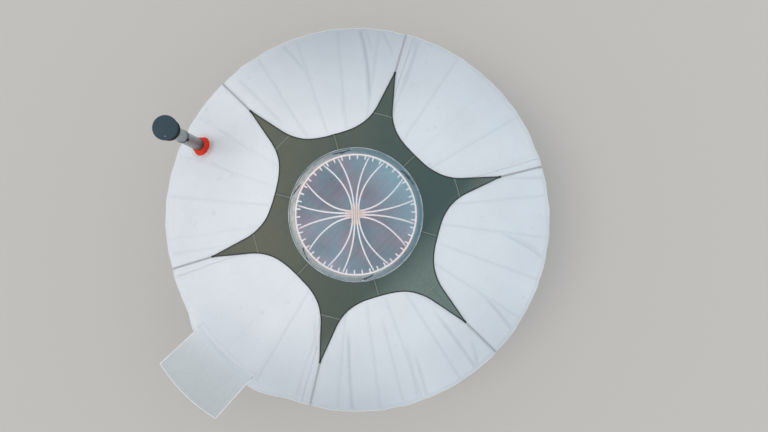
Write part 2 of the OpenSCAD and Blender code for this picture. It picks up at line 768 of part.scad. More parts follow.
module awning_canopy() {
    rows = concat([-1], [for (k = [0:awning_rows]) k / awning_rows]);
    n = awning_cols + 1;
    m = len(rows);
    points = [for (lift = [0, awning_t], s = rows, j = [0:awning_cols]) awning_point(s, 2 * j / awning_cols - 1, lift)];
    top = m * n;
    under = [for (i = [0:m - 2], j = [0:awning_cols - 1])
        each [[i * n + j, i * n + j + 1, (i + 1) * n + j], [i * n + j + 1, (i + 1) * n + j + 1, (i + 1) * n + j]]];
    over = [for (f = under) [f[2] + top, f[1] + top, f[0] + top]];
    rim = concat(
        [for (j = [0:n - 1]) j],
        [for (i = [1:m - 1]) i * n + n - 1],
        [for (j = [n - 2:-1:0]) (m - 1) * n + j],
        [for (i = [m - 2:-1:1]) i * n]
    );
    edge = [for (k = [0:len(rim) - 1]) let (a = rim[k], b = rim[(k + 1) % len(rim)]) [b, a, a + top, b + top]];
    color("gainsboro") polyhedron(points, concat(under, over, edge));
}

// A front rail that follows the arch, two side arms and two struts back to the door posts
module awning_frame() {
    rail = awning_rail_d / 2;
    strut = rail * 0.8;
    under = -rail - 6 * fit;
    s_front = 0.955;
    u_end = 0.97;
    x = door_frame_w / 2 - post_w / 2;
    color("peru") {
        for (j = [0:awning_cols - 1])
            rod(
                awning_point(s_front, u_end * (2 * j / awning_cols - 1), under),
                awning_point(s_front, u_end * (2 * (j + 1) / awning_cols - 1), under),
                rail
            );
        for (side = [-1, 1]) {
            rod_from_door([side * x, frame_front_y, lintel_top_z - lintel_h / 2],
                awning_point(s_front, side * 0.9, under), rail);
            rod_from_door([side * x, frame_front_y, lintel_z - strut_drop],
                awning_point(0.6, side * 0.86, under - 30), strut);
        }
    }
}

// A rod that ends flush against the front of the door frame at point a
module rod_from_door(a, b, r) {
    d = (b - a) / norm(b - a);
    rod(a - [0, r * sqrt(1 - d[1] * d[1]) + fit, 0], b, r);
}

// A round rod from point a to point b
module rod(a, b, r) {
    d = b - a;
    translate(a)
        rotate([0, acos(d[2] / norm(d)), atan2(d[1], d[0])])
            cylinder(h = norm(d), r = r, $fn = 12);
}

floor_joists();
platform_rim();
floor_boards();
lattice(1);  // lattice_1
lattice(2);  // lattice_2
lattice(3);  // lattice_3
lattice(4);  // lattice_4
door_post(-1);  // door_post_left
door_post(1);  // door_post_right
door_lintel();
door_threshold();
door_leaf();
door_hinges();
door_handle();
wall_canvas(1);  // wall_canvas_1
wall_canvas(2);  // wall_canvas_2
wall_canvas(3);  // wall_canvas_3
wall_canvas(4);  // wall_canvas_4
wall_belts();
rafters(1);  // rafters_1
rafters(2);  // rafters_2
rafters(3);  // rafters_3
rafters(4);  // rafters_4
crown_ring();
crown_laths_lower();
crown_laths_upper();
roof_panel(1);  // roof_panel_1
roof_panel(2);  // roof_panel_2
roof_panel(3);  // roof_panel_3
roof_panel(4);  // roof_panel_4
roof_panel(5);  // roof_panel_5
roof_panel(6);  // roof_panel_6
star_cap();
star_straps();
dome_collar();
dome();
flue_support();
flue_boot();
flue_lower();
flue_upper();
flue_band();
flue_cap();
awning_canopy();
awning_frame();
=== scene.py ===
# %% [markdown]
# # A round tent, finished in Blender
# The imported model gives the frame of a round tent: a lattice wall, rafters, a crown ring and their covers.
# This notebook dresses that frame, one piece at a time, in cloth, timber, steel and clear sheet.
# Everything is in metres and sits where the frame says, so nothing has to be fitted afterwards.

# %% Load the frame
import math
from functools import partial

import bmesh
import bpy
from mathutils import Matrix, Vector, noise


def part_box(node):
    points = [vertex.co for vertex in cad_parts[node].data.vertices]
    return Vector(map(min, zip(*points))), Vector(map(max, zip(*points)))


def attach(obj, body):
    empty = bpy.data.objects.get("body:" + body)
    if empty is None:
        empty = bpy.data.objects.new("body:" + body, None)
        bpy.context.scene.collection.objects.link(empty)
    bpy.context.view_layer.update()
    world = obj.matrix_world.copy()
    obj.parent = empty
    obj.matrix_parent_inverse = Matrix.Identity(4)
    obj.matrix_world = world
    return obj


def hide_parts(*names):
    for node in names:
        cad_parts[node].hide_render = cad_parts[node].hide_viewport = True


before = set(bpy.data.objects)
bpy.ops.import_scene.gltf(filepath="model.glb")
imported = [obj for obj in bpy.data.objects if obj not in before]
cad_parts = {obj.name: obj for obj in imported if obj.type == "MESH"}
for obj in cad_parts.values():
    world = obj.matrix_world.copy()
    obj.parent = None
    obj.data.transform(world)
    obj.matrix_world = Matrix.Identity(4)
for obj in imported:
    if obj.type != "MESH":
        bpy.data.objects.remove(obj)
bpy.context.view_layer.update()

# %% [markdown]
# ## The camera
# The tent is looked at from straight above, from about ten metres up and a hand's breadth off its middle.
# The tent's door faces -Y, so the camera is turned about the vertical to put the door at the lower left.

# %% Camera
CAMERA_PLACE = (0.347, -0.014, 10.05)
CAMERA_TURN = (1.92, -1.052, 44.436)
camera_data = bpy.data.cameras.new("camera")
camera_data.lens = 25.0
camera_data.sensor_width = 36.0
camera = bpy.data.objects.new("camera", camera_data)
camera.location = CAMERA_PLACE
camera.rotation_euler = [math.radians(turn) for turn in CAMERA_TURN]
bpy.context.scene.collection.objects.link(camera)
bpy.context.scene.camera = camera
print("camera at", CAMERA_PLACE)

# %% [markdown]
# ## Light
# An overcast sky is a large, even light, so the world itself does most of the work. A wide, soft sun from one
# side adds just enough direction for folds and seams to show. Together they make a colour render about as it
# is written.

# %% Sky and soft sun
SKY_STRENGTH = 0.93
SUN_STRENGTH = 0.70
SUN_SIZE = 30
SUN_FROM = Vector((-0.31, -0.37, 0.87))


def linear(code):
    """Turns an sRGB hex colour to linear red, green, blue and alpha"""
    parts = [int(code[start:start + 2], 16) / 255 for start in (1, 3, 5)]
    return [p / 12.92 if p <= 0.04045 else ((p + 0.055) / 1.055) ** 2.4 for p in parts] + [1.0]


world = bpy.data.worlds.new("sky")
world.use_nodes = True
world.node_tree.nodes["Background"].inputs["Color"].default_value = linear("#f4f8ff")
world.node_tree.nodes["Background"].inputs["Strength"].default_value = SKY_STRENGTH
bpy.context.scene.world = world
sun_data = bpy.data.lights.new("soft_sun", "SUN")
sun_data.energy = SUN_STRENGTH
sun_data.angle = math.radians(SUN_SIZE)
sun_data.color = linear("#fff8f0")[:3]
sun = bpy.data.objects.new("soft_sun", sun_data)
sun.rotation_euler = SUN_FROM.to_track_quat("Z", "Y").to_euler()
bpy.context.scene.collection.objects.link(sun)
bpy.context.scene.view_settings.view_transform = "Standard"
print("sky", SKY_STRENGTH, "and sun", SUN_STRENGTH)

# %% [markdown]
# ## Helpers for materials
# Every finish below is drawn by nodes, so it stays sharp at any distance. One function adds a node with its
# settings and links, one starts a material from what the real stuff is called, and one finishes it. The
# others draw what many finishes need: clouds of two tones, a change towards one side, a change outwards.

# %% Material helpers
def feed(node, feeds):
    """Sets a node's inputs: a socket is linked, a hex colour is made linear, and any other value is kept"""
    for key, value in feeds.items():
        if isinstance(value, bpy.types.NodeSocket):
            node.id_data.links.new(value, node.inputs[key])
        else:
            node.inputs[key].default_value = linear(value) if isinstance(value, str) else value


def add_node(tree, kind, feeds, out=0, **settings):
    """Adds a node with its settings, feeds its inputs and gives one of its outputs"""
    node = tree.nodes.new("ShaderNode" + kind)
    for name, value in settings.items():
        setattr(node, name, value)
    feed(node, feeds)
    return node.outputs[out]


def start_material(name, roughness, **values):
    """Starts a material: gives it, what adds nodes to it and each point's place in metres"""
    material = bpy.data.materials.new(name)
    material.use_nodes = True
    draw = partial(add_node, material.node_tree)
    shader = material.node_tree.nodes["Principled BSDF"]
    feed(shader, {"Roughness": roughness})
    feed(shader, {key.replace("_", " "): value for key, value in values.items()})
    return material, draw, draw("TexCoord", {}, "Object")


def finish(material, draw, tone, relief=None, depth=0.0005, strength=0.5, **feeds):
    """Gives a material its colour and the relief of its surface, and hands it over"""
    feeds["Base Color"] = tone
    if relief is not None:
        feeds["Normal"] = draw("Bump", {"Height": relief, "Distance": depth, "Strength": strength})
    feed(material.node_tree.nodes["Principled BSDF"], feeds)
    return material


def mottled(draw, place, scale, detail, low, high, light, dark, most=1.0, twist=0.0):
    """A cloudy pattern, and a tone that goes with it from light towards dark, by most at the most"""
    cloud = draw("TexNoise", {"Vector": place, "Scale": scale, "Detail": detail, "Distortion": twist})
    share = draw("MapRange", {"Value": cloud, "From Min": low, "From Max": high, "To Max": most})
    return cloud, draw("Mix", {0: share, 6: light, 7: dark}, 2, data_type="RGBA")


def outward(angle):
    """The level direction that an angle points in"""
    return Vector((math.cos(angle), math.sin(angle), 0.0))


def towards(draw, place, degrees, low, high, most=1.0):
    """How far a point lies in a direction: 0 at low metres from the middle and most at high"""
    way = outward(math.radians(degrees))
    metres = draw("VectorMath", {0: place, 1: way}, "Value", operation="DOT_PRODUCT")
    return draw("MapRange", {"Value": metres, "From Min": low, "From Max": high, "To Max": most})


def from_middle(draw, place, low, high, most=1.0):
    """How far a point lies from the upright axis: 0 at radius low and most at radius high"""
    flat = draw("VectorMath", {0: place, 1: (1.0, 1.0, 0.0)}, operation="MULTIPLY")
    radius = draw("VectorMath", {0: flat}, "Value", operation="LENGTH")
    return draw("MapRange", {"Value": radius, "From Min": low, "From Max": high, "To Max": most})


print("material helpers ready")

# %% [markdown]
# ## Helpers for shapes
# Most pieces of a tent are a sheet, a turned shape or a section drawn along a route. Each helper starts
# from a bmesh operator, and its points are then moved to where the piece lies.

# %% Shape helpers
def keep_piece(name, mesh, material, stands_for=(), smooth=True):
    """Turns a bmesh into a finished piece that rides on the frame"""
    bmesh.ops.remove_doubles(mesh, verts=mesh.verts, dist=0.00002)
    data = bpy.data.meshes.new(name)
    mesh.to_mesh(data)
    mesh.free()
    data.materials.append(material)
    data.polygons.foreach_set("use_smooth", [smooth] * len(data.polygons))
    made = bpy.data.objects.new(name, data)
    bpy.context.scene.collection.objects.link(made)
    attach(made, "root")
    if stands_for:
        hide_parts(*stands_for)
    print(name, len(data.polygons), "faces")
    return made


def sheet_mesh(columns, rows, place):
    """Lays a grid through the points that place(column, row) gives, and names each column and row"""
    mesh = bmesh.new()
    wide = len(columns) - 1
    long = len(rows) - 1
    bmesh.ops.create_grid(mesh, x_segments=wide, y_segments=long, size=1.0)
    for vert in mesh.verts:
        column = columns[round((vert.co.x + 1) / 2 * wide)]
        row = rows[round((vert.co.y + 1) / 2 * long)]
        vert.co = place(column, row)
    return mesh


def join_into(mesh, part):
    """Adds one bmesh to another and frees the first"""
    data = bpy.data.meshes.new("part")
    part.to_mesh(data)
    part.free()
    mesh.from_mesh(data)
    bpy.data.meshes.remove(data)


def eased_block(size, place, turn=0.0, cut=0.002):
    """A block with eased edges, turned about the upright axis and put in its place"""
    mesh = bmesh.new()
    bmesh.ops.create_cube(mesh, size=1.0)
    bmesh.ops.scale(mesh, vec=size, verts=mesh.verts)
    bmesh.ops.bevel(mesh, geom=mesh.edges[:], offset=cut, offset_type="OFFSET", segments=2, profile=0.5,
                    affect="EDGES", material=-1)
    bmesh.ops.transform(mesh, matrix=Matrix.Translation(place) @ Matrix.Rotation(turn, 4, "Z"),
                        verts=mesh.verts)
    return mesh


def mark_creases(mesh, how_deep):
    """Keeps at each point of a sheet how deep in a seam or fold it lies, for the soil and painted shade in
    its material
    """
    layer = mesh.verts.layers.float.new("crease")
    for vert in mesh.verts:
        vert[layer] = how_deep(vert.co)


def thicken(made, thickness, lies_flat=False):
    """Gives a sheet its cloth's thickness on the outside, or always on top where it lies flat"""
    solid = made.modifiers.new("thickness", "SOLIDIFY")
    solid.thickness = thickness
    face_down = lies_flat and made.data.polygons[0].normal.z <= 0
    solid.offset = -1.0 if face_down else 1.0


def turned(profile, corner=(0.0, 0.0), centre=(0.0, 0.0), steps=96):
    """Spins an outline of (radius, height), measured from a corner, round an upright axis"""
    mesh = bmesh.new()
    verts = [mesh.verts.new((centre[0] + corner[0] + out, centre[1], corner[1] + up)) for out, up in profile]
    edges = [mesh.edges.new(pair) for pair in zip(verts, verts[1:])]
    bmesh.ops.spin(mesh, geom=verts + edges, cent=(centre[0], centre[1], 0), axis=(0, 0, 1),
                   angle=math.tau, steps=steps, use_merge=True)
    bmesh.ops.remove_doubles(mesh, verts=mesh.verts, dist=0.00001)
    bmesh.ops.recalc_face_normals(mesh, faces=mesh.faces)
    return mesh


def sweep(mesh, route, section, up=Vector((0, 0, 1)), closed=False):
    """Draws a section of (side, up) points along a route. up is one vector, or one for each of its points"""
    start = bmesh.ops.create_circle(mesh, segments=len(section), radius=0.01, cap_ends=False)["verts"]
    loop = list(start)
    edges = list({edge for vert in loop for edge in vert.link_edges})
    last = len(route) - 1
    first_loop = loop
    for index, point in enumerate(route):
        if index:
            grown = bmesh.ops.extrude_edge_only(mesh, edges=edges)["geom"]
            fresh = {part for part in grown if isinstance(part, bmesh.types.BMVert)}
            edges = [part for part in grown if isinstance(part, bmesh.types.BMEdge)
                     and part.verts[0] in fresh and part.verts[1] in fresh]
            follow = []
            for vert in loop:
                ends = [edge.other_vert(vert) for edge in vert.link_edges]
                follow.append(next(end for end in ends if end in fresh))
            loop = follow
        ahead = (route[min(index + 1, last)] - route[max(index - 1, 0)]).normalized()
        if closed and index in (0, last):
            ahead = (route[1] - route[last - 1]).normalized()
        rise = up[index] if isinstance(up, list) else up
        side = ahead.cross(rise).normalized()
        rise = side.cross(ahead).normalized()
        for vert, (across, height) in zip(loop, section):
            vert.co = point + side * across + rise * height
    if not closed:
        mesh.faces.new(list(reversed(first_loop)))
        mesh.faces.new(loop)
    return mesh


def round_section(radius, sides=8):
    """A round section for sweep"""
    turns = [k * math.tau / sides for k in range(sides)]
    return [(radius * math.cos(turn), radius * math.sin(turn)) for turn in turns]


def flat_section(width, thickness, corner=0.3):
    """A flat section with eased corners for sweep, lying on its route"""
    half = width / 2
    cut = thickness * corner
    return [(half - cut, 0), (half, cut), (half, thickness - cut), (half - cut, thickness),
            (cut - half, thickness), (-half, thickness - cut), (-half, cut), (cut - half, 0)]


def spread(low, high, steps):
    """Even steps from low to high, with both ends"""
    return [low + (high - low) * k / steps for k in range(steps + 1)]


def ease(value, low, high):
    """0 below low, 1 above high and a soft slope between"""
    share = min(1.0, max(0.0, (value - low) / (high - low)))
    return share * share * (3 - 2 * share)


print("shape helpers ready")

# %% [markdown]
# ## The roof as a surface
# Forty-six rafters carry the roof cloth. Between two rafters the cloth is flat, so its edge there lies
# nearer the middle than on a rafter. Past the rafters' ends the cloth bends over a shoulder and hangs as
# a hem. It is sewn from twenty-eight tapered gores, whose seams pull it in a little.
# All of that is one function from a place on the roof to a point, so that every piece that lies on the roof
# can ask it where the cloth is.

# %% Roof surface
RAFTERS = 46
BAY = math.tau / RAFTERS
# The star has six arms, and a strap runs down from each
ARMS = 6
ARM_STEP = math.tau / ARMS
RIDGE_GAP = 1 - math.cos(BAY / 2)
ROOF_IN = 0.810
SHOULDER = 2.870
HEM = 2.960
HEM_DROP = 0.140
ROOF_T = 0.003
# The frame's cloth is a little thicker when it is measured upright
ROOF_UP = 0.0034
roof_low, roof_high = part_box("roof_panel_1")
shoulder_z = roof_low.z + HEM_DROP
SLOPE = (roof_high.z - ROOF_UP - shoulder_z) / (SHOULDER - ROOF_IN)
PITCH = math.atan(SLOPE)
HEM_PITCH = math.atan2(HEM_DROP, HEM - SHOULDER)
SEAMS = 28
SEAM_STEP = math.tau / SEAMS
SEAM_START = math.radians(12.5)
REST_LIFT = 0.005
# A seam lies in a hollow, where its folded cloth stands up: depth or height, and half width
SEAM_HOLLOW = (0.0034, 0.021)
SEAM_FOLD = (0.0009, 0.006)
# The cloth's slack rolls over the whole roof: height, and how many to a metre
BILLOWS = [(0.0030, 1.7), (0.0012, 5.3)]
# The shoulder is a soft bend of this size, and the cloth leans over between these two radii
SHOULDER_SOFT = 0.022
SHOULDER_LEAN = (2.852, 2.888)
# The hem waves in and out, and each strap pulls it in: depth and half width
HEM_WAVES = [(0.009, 9.0), (0.004, 27.0)]
STRAP_PINCH = (0.008, 0.07)
# The awning lifts the hem beside it: its middle, the degrees from there over which the hem comes down, and
# how far out and up the hem is taken
LIFT_MIDDLE = 272.3
LIFT_SPAN = (10.6, 22.0)
LIFT_OUT = 0.68
LIFT_UP = 1.42
# Directions in degrees where the gores hang slack, so their seams hardly show, and how wide that stretch is
SLACK = [(68, 8), (243, 20), (263, 12), (88, 5), (199, 9)]
# Folds in the roof cloth: direction and radius at the outer end, the same at the inner end, depth and half
# width in millimetres, and the side that the roll beside it lies on
FOLDS = [
    (8.4, 2.86, 12.2, 2.15, 9, 24, 1), (32.3, 2.86, 38.2, 2.05, 7, 22, 1),
    (34.2, 2.75, 37.8, 2.25, 5, 18, 1), (56.6, 2.86, 58.8, 2.25, 6, 20, -1),
    (127.2, 2.88, 121.9, 2.45, 6, 22, 1), (133.9, 2.88, 128.2, 1.6, 11, 24, 1),
    (132.0, 2.86, 129.8, 2.5, 5, 20, 1), (158.3, 2.88, 154.4, 2.25, 7, 20, 1),
    (175.6, 2.75, 173.6, 1.65, 5, 22, 1), (312.7, 2.88, 310.4, 1.6, 8, 22, -1),
    (353.4, 2.88, 357.6, 2.42, 7, 22, 1), (352.4, 2.88, 353.7, 1.75, 7, 22, -1),
    (335.6, 2.86, 337.1, 2.15, 6, 18, -1), (332.8, 2.84, 335.4, 1.95, 5, 18, -1),
    (328.2, 2.86, 328.4, 1.45, 5, 20, 1), (297.6, 1.98, 291.8, 1.48, 5, 20, 1),
    (295.7, 2.8, 294.8, 2.2, 4, 20, 1), (204.2, 2.28, 205.8, 1.75, 5, 20, 1),
    (115.7, 2.78, 114.6, 1.95, 6, 22, 1), (207.4, 2.86, 203.5, 2.72, 5, 22, 1),
    (141.0, 1.75, 142.6, 1.3, 4, 18, 1), (192.6, 2.3, 193.2, 1.6, 3, 24, 1),
    (235.6, 2.84, 237.0, 1.9, 4, 20, -1), (205.2, 2.7, 204.6, 2.3, 4, 20, 1),
]


def turn_between(first, second):
    """The signed angle from second to first, between minus and plus half a turn"""
    return (first - second + math.pi) % math.tau - math.pi


def bump_at(distance, half):
    """1 at no distance, falling off smoothly on both sides to near 0 at twice the half width"""
    return math.exp(-(distance / half) ** 2)


def seam_pull(angle):
    """How hard a seam pulls at a direction, from 0 to 1"""
    pull = 1.0
    for direction, wide in SLACK:
        pull -= 0.8 * bump_at(math.degrees(turn_between(angle, math.radians(direction))), wide)
    return max(0.1, pull)


def seam_offset(reach, angle):
    """The distance across the cloth from a point to the nearest seam"""
    step = (angle - SEAM_START) / SEAM_STEP
    return (step - round(step)) * SEAM_STEP * reach


def fold_height(reach, angle):
    """The height that the folds give the cloth at a point, and how deep in a fold the point lies"""
    height = 0.0
    deep = 0.0
    for out_deg, out_r, in_deg, in_r, depth, half, side in FOLDS:
        if not in_r - 0.12 < reach < out_r + 0.06:
            continue
        share = (out_r - reach) / (out_r - in_r)
        middle = math.radians(out_deg + (in_deg - out_deg) * share)
        across = turn_between(angle, middle) * reach * 1000
        if abs(across) > 6 * half:
            continue
        fade = ease(reach, in_r - 0.1, in_r + 0.25) * (1 - ease(reach, out_r - 0.03, out_r + 0.06))
        groove = bump_at(across, half)
        roll = bump_at(across - side * 2.1 * half, 1.2 * half)
        height += fade * depth / 1000 * (0.75 * roll - groove)
        deep = max(deep, fade * groove * depth / 9)
    return height, deep


def cloth_height(reach, angle):
    """How far the roof cloth stands off its rafters, and how deep in a seam or fold the point lies"""
    near_crown = ease(reach, 0.95, 1.3)
    across = seam_offset(reach, angle)
    pull = seam_pull(angle) * near_crown
    groove = bump_at(across, SEAM_HOLLOW[1])
    height = REST_LIFT - SEAM_HOLLOW[0] * pull * groove
    height += SEAM_FOLD[0] * math.exp(-(across / SEAM_FOLD[1]) ** 4)
    folds, deep = fold_height(reach, angle)
    spot = Vector((reach * math.cos(angle), reach * math.sin(angle), 0.0))
    billow = sum(high * noise.noise(spot * often) for high, often in BILLOWS)
    height += near_crown * (folds + billow)
    least = 0.0008
    return max(height, least + 0.25 * max(-0.004, height - least)), max(deep, 0.4 * pull * groove)


def hem_lift(angle):
    """How far the awning lifts the hem beside it: 0 where the hem hangs and 1 at the awning's sides"""
    away = abs(math.degrees(turn_between(angle, math.radians(LIFT_MIDDLE))))
    return 1 - ease(away, *LIFT_SPAN)


def from_arm(angle):
    """The signed angle from the nearest arm's axis, where a strap runs"""
    return turn_between(angle, round(angle / ARM_STEP) * ARM_STEP)


def bay_flatness(angle):
    """How much nearer the middle the cloth lies between two rafters than on one, with softened ridges"""
    share = (angle / BAY) % 1 * 2 - 1
    return 1 - RIDGE_GAP * max(0.0, 1 - share * share) ** 1.3


def roof_point(reach, angle, lift=0.0):
    """A point on the roof: reach is its radius on a rafter, and lift its height over the cloth's underside"""
    slope_z = shoulder_z + (SHOULDER - reach) * SLOPE
    hem_z = shoulder_z - (reach - SHOULDER) * math.tan(HEM_PITCH)
    soft = max(0.0, SHOULDER_SOFT - abs(slope_z - hem_z)) / SHOULDER_SOFT
    height = min(slope_z, hem_z) - soft * soft * SHOULDER_SOFT / 4
    lifted = max(0.0, reach - SHOULDER) * hem_lift(angle)
    height += LIFT_UP * lifted
    tip = PITCH + (HEM_PITCH - PITCH) * ease(reach, *SHOULDER_LEAN)
    lift += cloth_height(reach, angle)[0]
    hang = ease(reach, SHOULDER, HEM)
    lift += hang * sum(deep * noise.noise(outward(angle) * often) for deep, often in HEM_WAVES)
    lift -= hang * STRAP_PINCH[0] * bump_at(from_arm(angle) * reach, STRAP_PINCH[1])
    radius = reach * bay_flatness(angle) + lift * math.sin(tip) + LIFT_OUT * lifted
    return Vector((radius * math.cos(angle), radius * math.sin(angle), height + lift * math.cos(tip)))


print("slope", round(math.degrees(PITCH), 2), "degrees, shoulder at", round(shoulder_z, 3))

# %% [markdown]
# ## Proofed canvas
# Roof and wall are cotton canvas proofed against rain: matt, bluish white, with a plain weave that shows as
# slubs. Towards one side it is painted cooler for the blue light of the sky, and in folds and towards the
# eaves it is darker, partly with soil and partly with painted shade. The thread spacing is about 0.5 mm, too
# fine to show from ten metres, so the slubs are drawn coarser, at some 6 mm and 30 mm.
# Daylight also passes through thin canvas, which is what lights the inside, so the cloth scatters light a
# few millimetres deep.

# %% Canvas
# The side, in degrees, where canvas is painted cooler for the blue light of the sky
PAINTED_COOL_SIDE = 44.4


def woven(draw, place, tone, slub_tone, thick, most):
    """The tone and relief of plain-woven cloth: slubs where thick threads cross, and single threads"""
    ways = [draw("Mapping", {"Vector": place, "Scale": size}) for size in ((1.0, 6.0, 1.0), (6.0, 1.0, 1.0))]
    warp, weft = (draw("TexNoise", {"Vector": way, "Scale": 30.0, "Detail": 2.0}) for way in ways)
    weave = draw("Math", {0: warp, 1: weft}, operation="MULTIPLY")
    slubs = draw("MapRange", {"Value": weave, "From Min": 0.15, "From Max": thick, "To Max": most})
    thread = draw("TexNoise", {"Vector": place, "Scale": 900.0, "Detail": 1.0})
    relief = draw("Math", {0: thread, 1: 0.25, 2: weave}, operation="MULTIPLY_ADD")
    return draw("Mix", {0: slubs, 6: tone, 7: slub_tone}, 2, data_type="RGBA"), relief


def creased(draw, tone, soil_and_shade_tone, most):
    """The tone darkened in its seams and folds, with soil and with painted shade, by the crease value that
    each point of a sheet keeps
    """
    soil_and_shade = draw("Attribute", {}, "Fac", attribute_name="crease")
    soil_and_shade = draw("Math", {0: soil_and_shade, 1: most}, operation="MULTIPLY")
    return draw("Mix", {0: soil_and_shade, 6: tone, 7: soil_and_shade_tone}, 2, data_type="RGBA")


def canvas(name, bright, cool, drift_tone, shade_and_soil_dirs=(), glow=0.35, front=0.0):
    """Proofed cotton canvas, painted cooler on one side for skylight, darker near the eave in some directions
    with painted shade and soil, darker in creases with soil and painted shade, and greyer out past the eave
    """
    material, draw, place = start_material(name, 0.78, Subsurface_Weight=glow, Subsurface_Scale=1.0,
                                           Sheen_Weight=0.08, Subsurface_Radius=(0.012, 0.012, 0.012))
    # Painted light: cooler towards one side, for the blue light of the sky
    painted_sky_tint = towards(draw, place, PAINTED_COOL_SIDE, -1.5, 2.4)
    tone = draw("Mix", {0: painted_sky_tint, 6: bright, 7: cool}, 2, data_type="RGBA")
    # Darker in random clouds and towards the eave
    cloudy = draw("TexNoise", {"Vector": place, "Scale": 1.6, "Detail": 4.0})
    drift = draw("MapRange", {"Value": cloudy, "From Min": 0.35, "From Max": 0.7, "To Max": 0.18})
    drift = draw("Math", {0: drift, 1: from_middle(draw, place, 1.3, 2.95, 0.5)}, operation="ADD")
    tone = draw("Mix", {0: drift, 6: tone, 7: drift_tone}, 2, data_type="RGBA")
    flat = draw("VectorMath", {0: place, 1: (1.0, 1.0, 0.0)}, operation="MULTIPLY")
    heading = draw("VectorMath", {0: flat}, operation="NORMALIZE")
    # Darker near the eave in the listed directions, with painted shade and with soil
    for degrees, spread_out, amount, start, end in shade_and_soil_dirs:
        way = outward(math.radians(degrees))
        facing = draw("VectorMath", {0: heading, 1: way}, "Value", operation="DOT_PRODUCT")
        edge = math.cos(math.radians(spread_out))
        near = draw("MapRange", {"Value": facing, "From Min": edge, "From Max": 1.0})
        share = draw("Math", {0: near, 1: from_middle(draw, place, start, end, amount)}, operation="MULTIPLY")
        tone = draw("Mix", {0: share, 6: tone, 7: "#8b959d"}, 2, data_type="RGBA")
    # Greyer out past the eave
    past_eave = from_middle(draw, place, 2.95, 3.25, front)
    tone = draw("Mix", {0: past_eave, 6: tone, 7: "#b9bdb4"}, 2, data_type="RGBA")
    # Seams and folds are darkened with soil and painted shade
    tone = creased(draw, tone, "#7c868f", 0.30)
    tone = mottled(draw, place, 7.0, 3.0, 0.66, 0.74, tone, "#9aa1a3", 0.15)[1]
    tone, relief = woven(draw, place, tone, "#8d969d", 0.4, 0.08)
    return finish(material, draw, tone, relief, 0.0012)


# Where the roof is darker near the eave, with painted shade and with soil: direction and spread in degrees,
# amount, and the radii where it starts and where it is full
ROOF_SHADE_AND_SOIL = [(140, 40, 0.60, 1.2, 2.95), (276, 22, 0.34, 1.8, 2.95), (308, 30, 0.48, 1.4, 2.95),
             (356, 26, 0.28, 1.6, 2.95), (96, 26, 0.22, 1.3, 2.95)]
# Roof canvas: pale and bluish, darker near the eave at the back and beside the door with painted shade and
# soil
roof_canvas = canvas("proofed_roof_canvas", "#e9eef1", "#e6f3f8", "#ccd3d9", ROOF_SHADE_AND_SOIL, glow=0.6)
# Wall canvas: the same stuff, splashed darker towards the ground
wall_canvas = canvas("proofed_wall_canvas", "#dcdfdf", "#d9e0e2", "#cdd0ce", glow=0.5)
# Awning canvas: the same roll, greyer out past the eave and darker over the door with painted shade and soil
awning_canvas = canvas("proofed_awning_canvas", "#e9eef1", "#e6f3f8", "#ccd3d9",
                       ROOF_SHADE_AND_SOIL + [(270, 60, 0.44, 2.84, 3.5)], glow=0.6, front=0.4)
print("three canvases")

# %% [markdown]
# ## Roof gores
# The roof cover comes as six panels, joined on the rafters where the straps run. Each is a curved sheet laid
# over the bays, with a closer spacing of points beside each seam so that the seam is a real ridge in a real
# hollow. The crease value of each point is kept as an attribute for the soil and painted shade.

# %% Roof panels
PANEL_BAYS = [0, 8, 15, 23, 31, 38, 46]
SEAM_BESIDE = [-0.0052, -0.0032, -0.0012, 0.0012, 0.0032, 0.0052]
AWNING_HALF = 0.545
COLUMNS_PER_BAY = 16
# Rows lie 25 mm apart on the slope and closer over the shoulder and down the hem
SHOULDER_ROWS = [2.825, 2.84, 2.85, 2.858, 2.865, 2.872, 2.88, 2.89, 2.903, 2.917, 2.931, 2.945, 2.96]
roof_rows = spread(ROOF_IN, ROOF_IN + 2.0, 80) + SHOULDER_ROWS


def panel_angles(first, last):
    """Directions of the columns of points in one panel"""
    angles = {round(turn, 5) for turn in spread(first * BAY, last * BAY, (last - first) * COLUMNS_PER_BAY)}
    for seam in range(SEAMS + 1):
        middle = SEAM_START + seam * SEAM_STEP
        for beside in SEAM_BESIDE:
            if first * BAY + 0.002 < middle + beside < last * BAY - 0.002:
                angles.add(round(middle + beside, 5))
    return sorted(angles)


def roof_crease(point):
    """How deep in a seam or fold of the roof a point lies"""
    angle = math.atan2(point.y, point.x)
    reach = math.hypot(point.x, point.y) / bay_flatness(angle)
    return cloth_height(reach, angle)[1] if reach < 2.9 else 0.0


def roof_panel(index):
    """One of the six panels of the roof cover, with the hem left open where the awning leaves it"""
    first, last = PANEL_BAYS[index], PANEL_BAYS[index + 1]
    columns = panel_angles(first, last)
    mesh = sheet_mesh(columns, roof_rows, lambda angle, reach: roof_point(reach, angle))
    mark_creases(mesh, roof_crease)
    if index == 4:
        for side in (-1, 1):
            low = [face for face in mesh.faces if face.calc_center_median().z < shoulder_z + 0.004]
            geometry = low + list({e for f in low for e in f.edges}) + list({v for f in low for v in f.verts})
            bmesh.ops.bisect_plane(mesh, geom=geometry, plane_co=(side * AWNING_HALF, 0, 0),
                                   plane_no=(1, 0, 0))
        gone = [face for face in mesh.faces if abs(face.calc_center_median().x) < AWNING_HALF
                and face.calc_center_median().z < shoulder_z - 0.004]
        bmesh.ops.delete(mesh, geom=gone, context="FACES")
    if index == 3:
        hole = [vert for vert in mesh.verts if (vert.co.xy - FLUE_CENTRE).length < FLUE_R + 0.004]
        bmesh.ops.delete(mesh, geom=hole, context="VERTS")
    made = keep_piece(f"roof_gore_{index + 1}", mesh, roof_canvas, [f"roof_panel_{index + 1}"])
    thicken(made, ROOF_T)


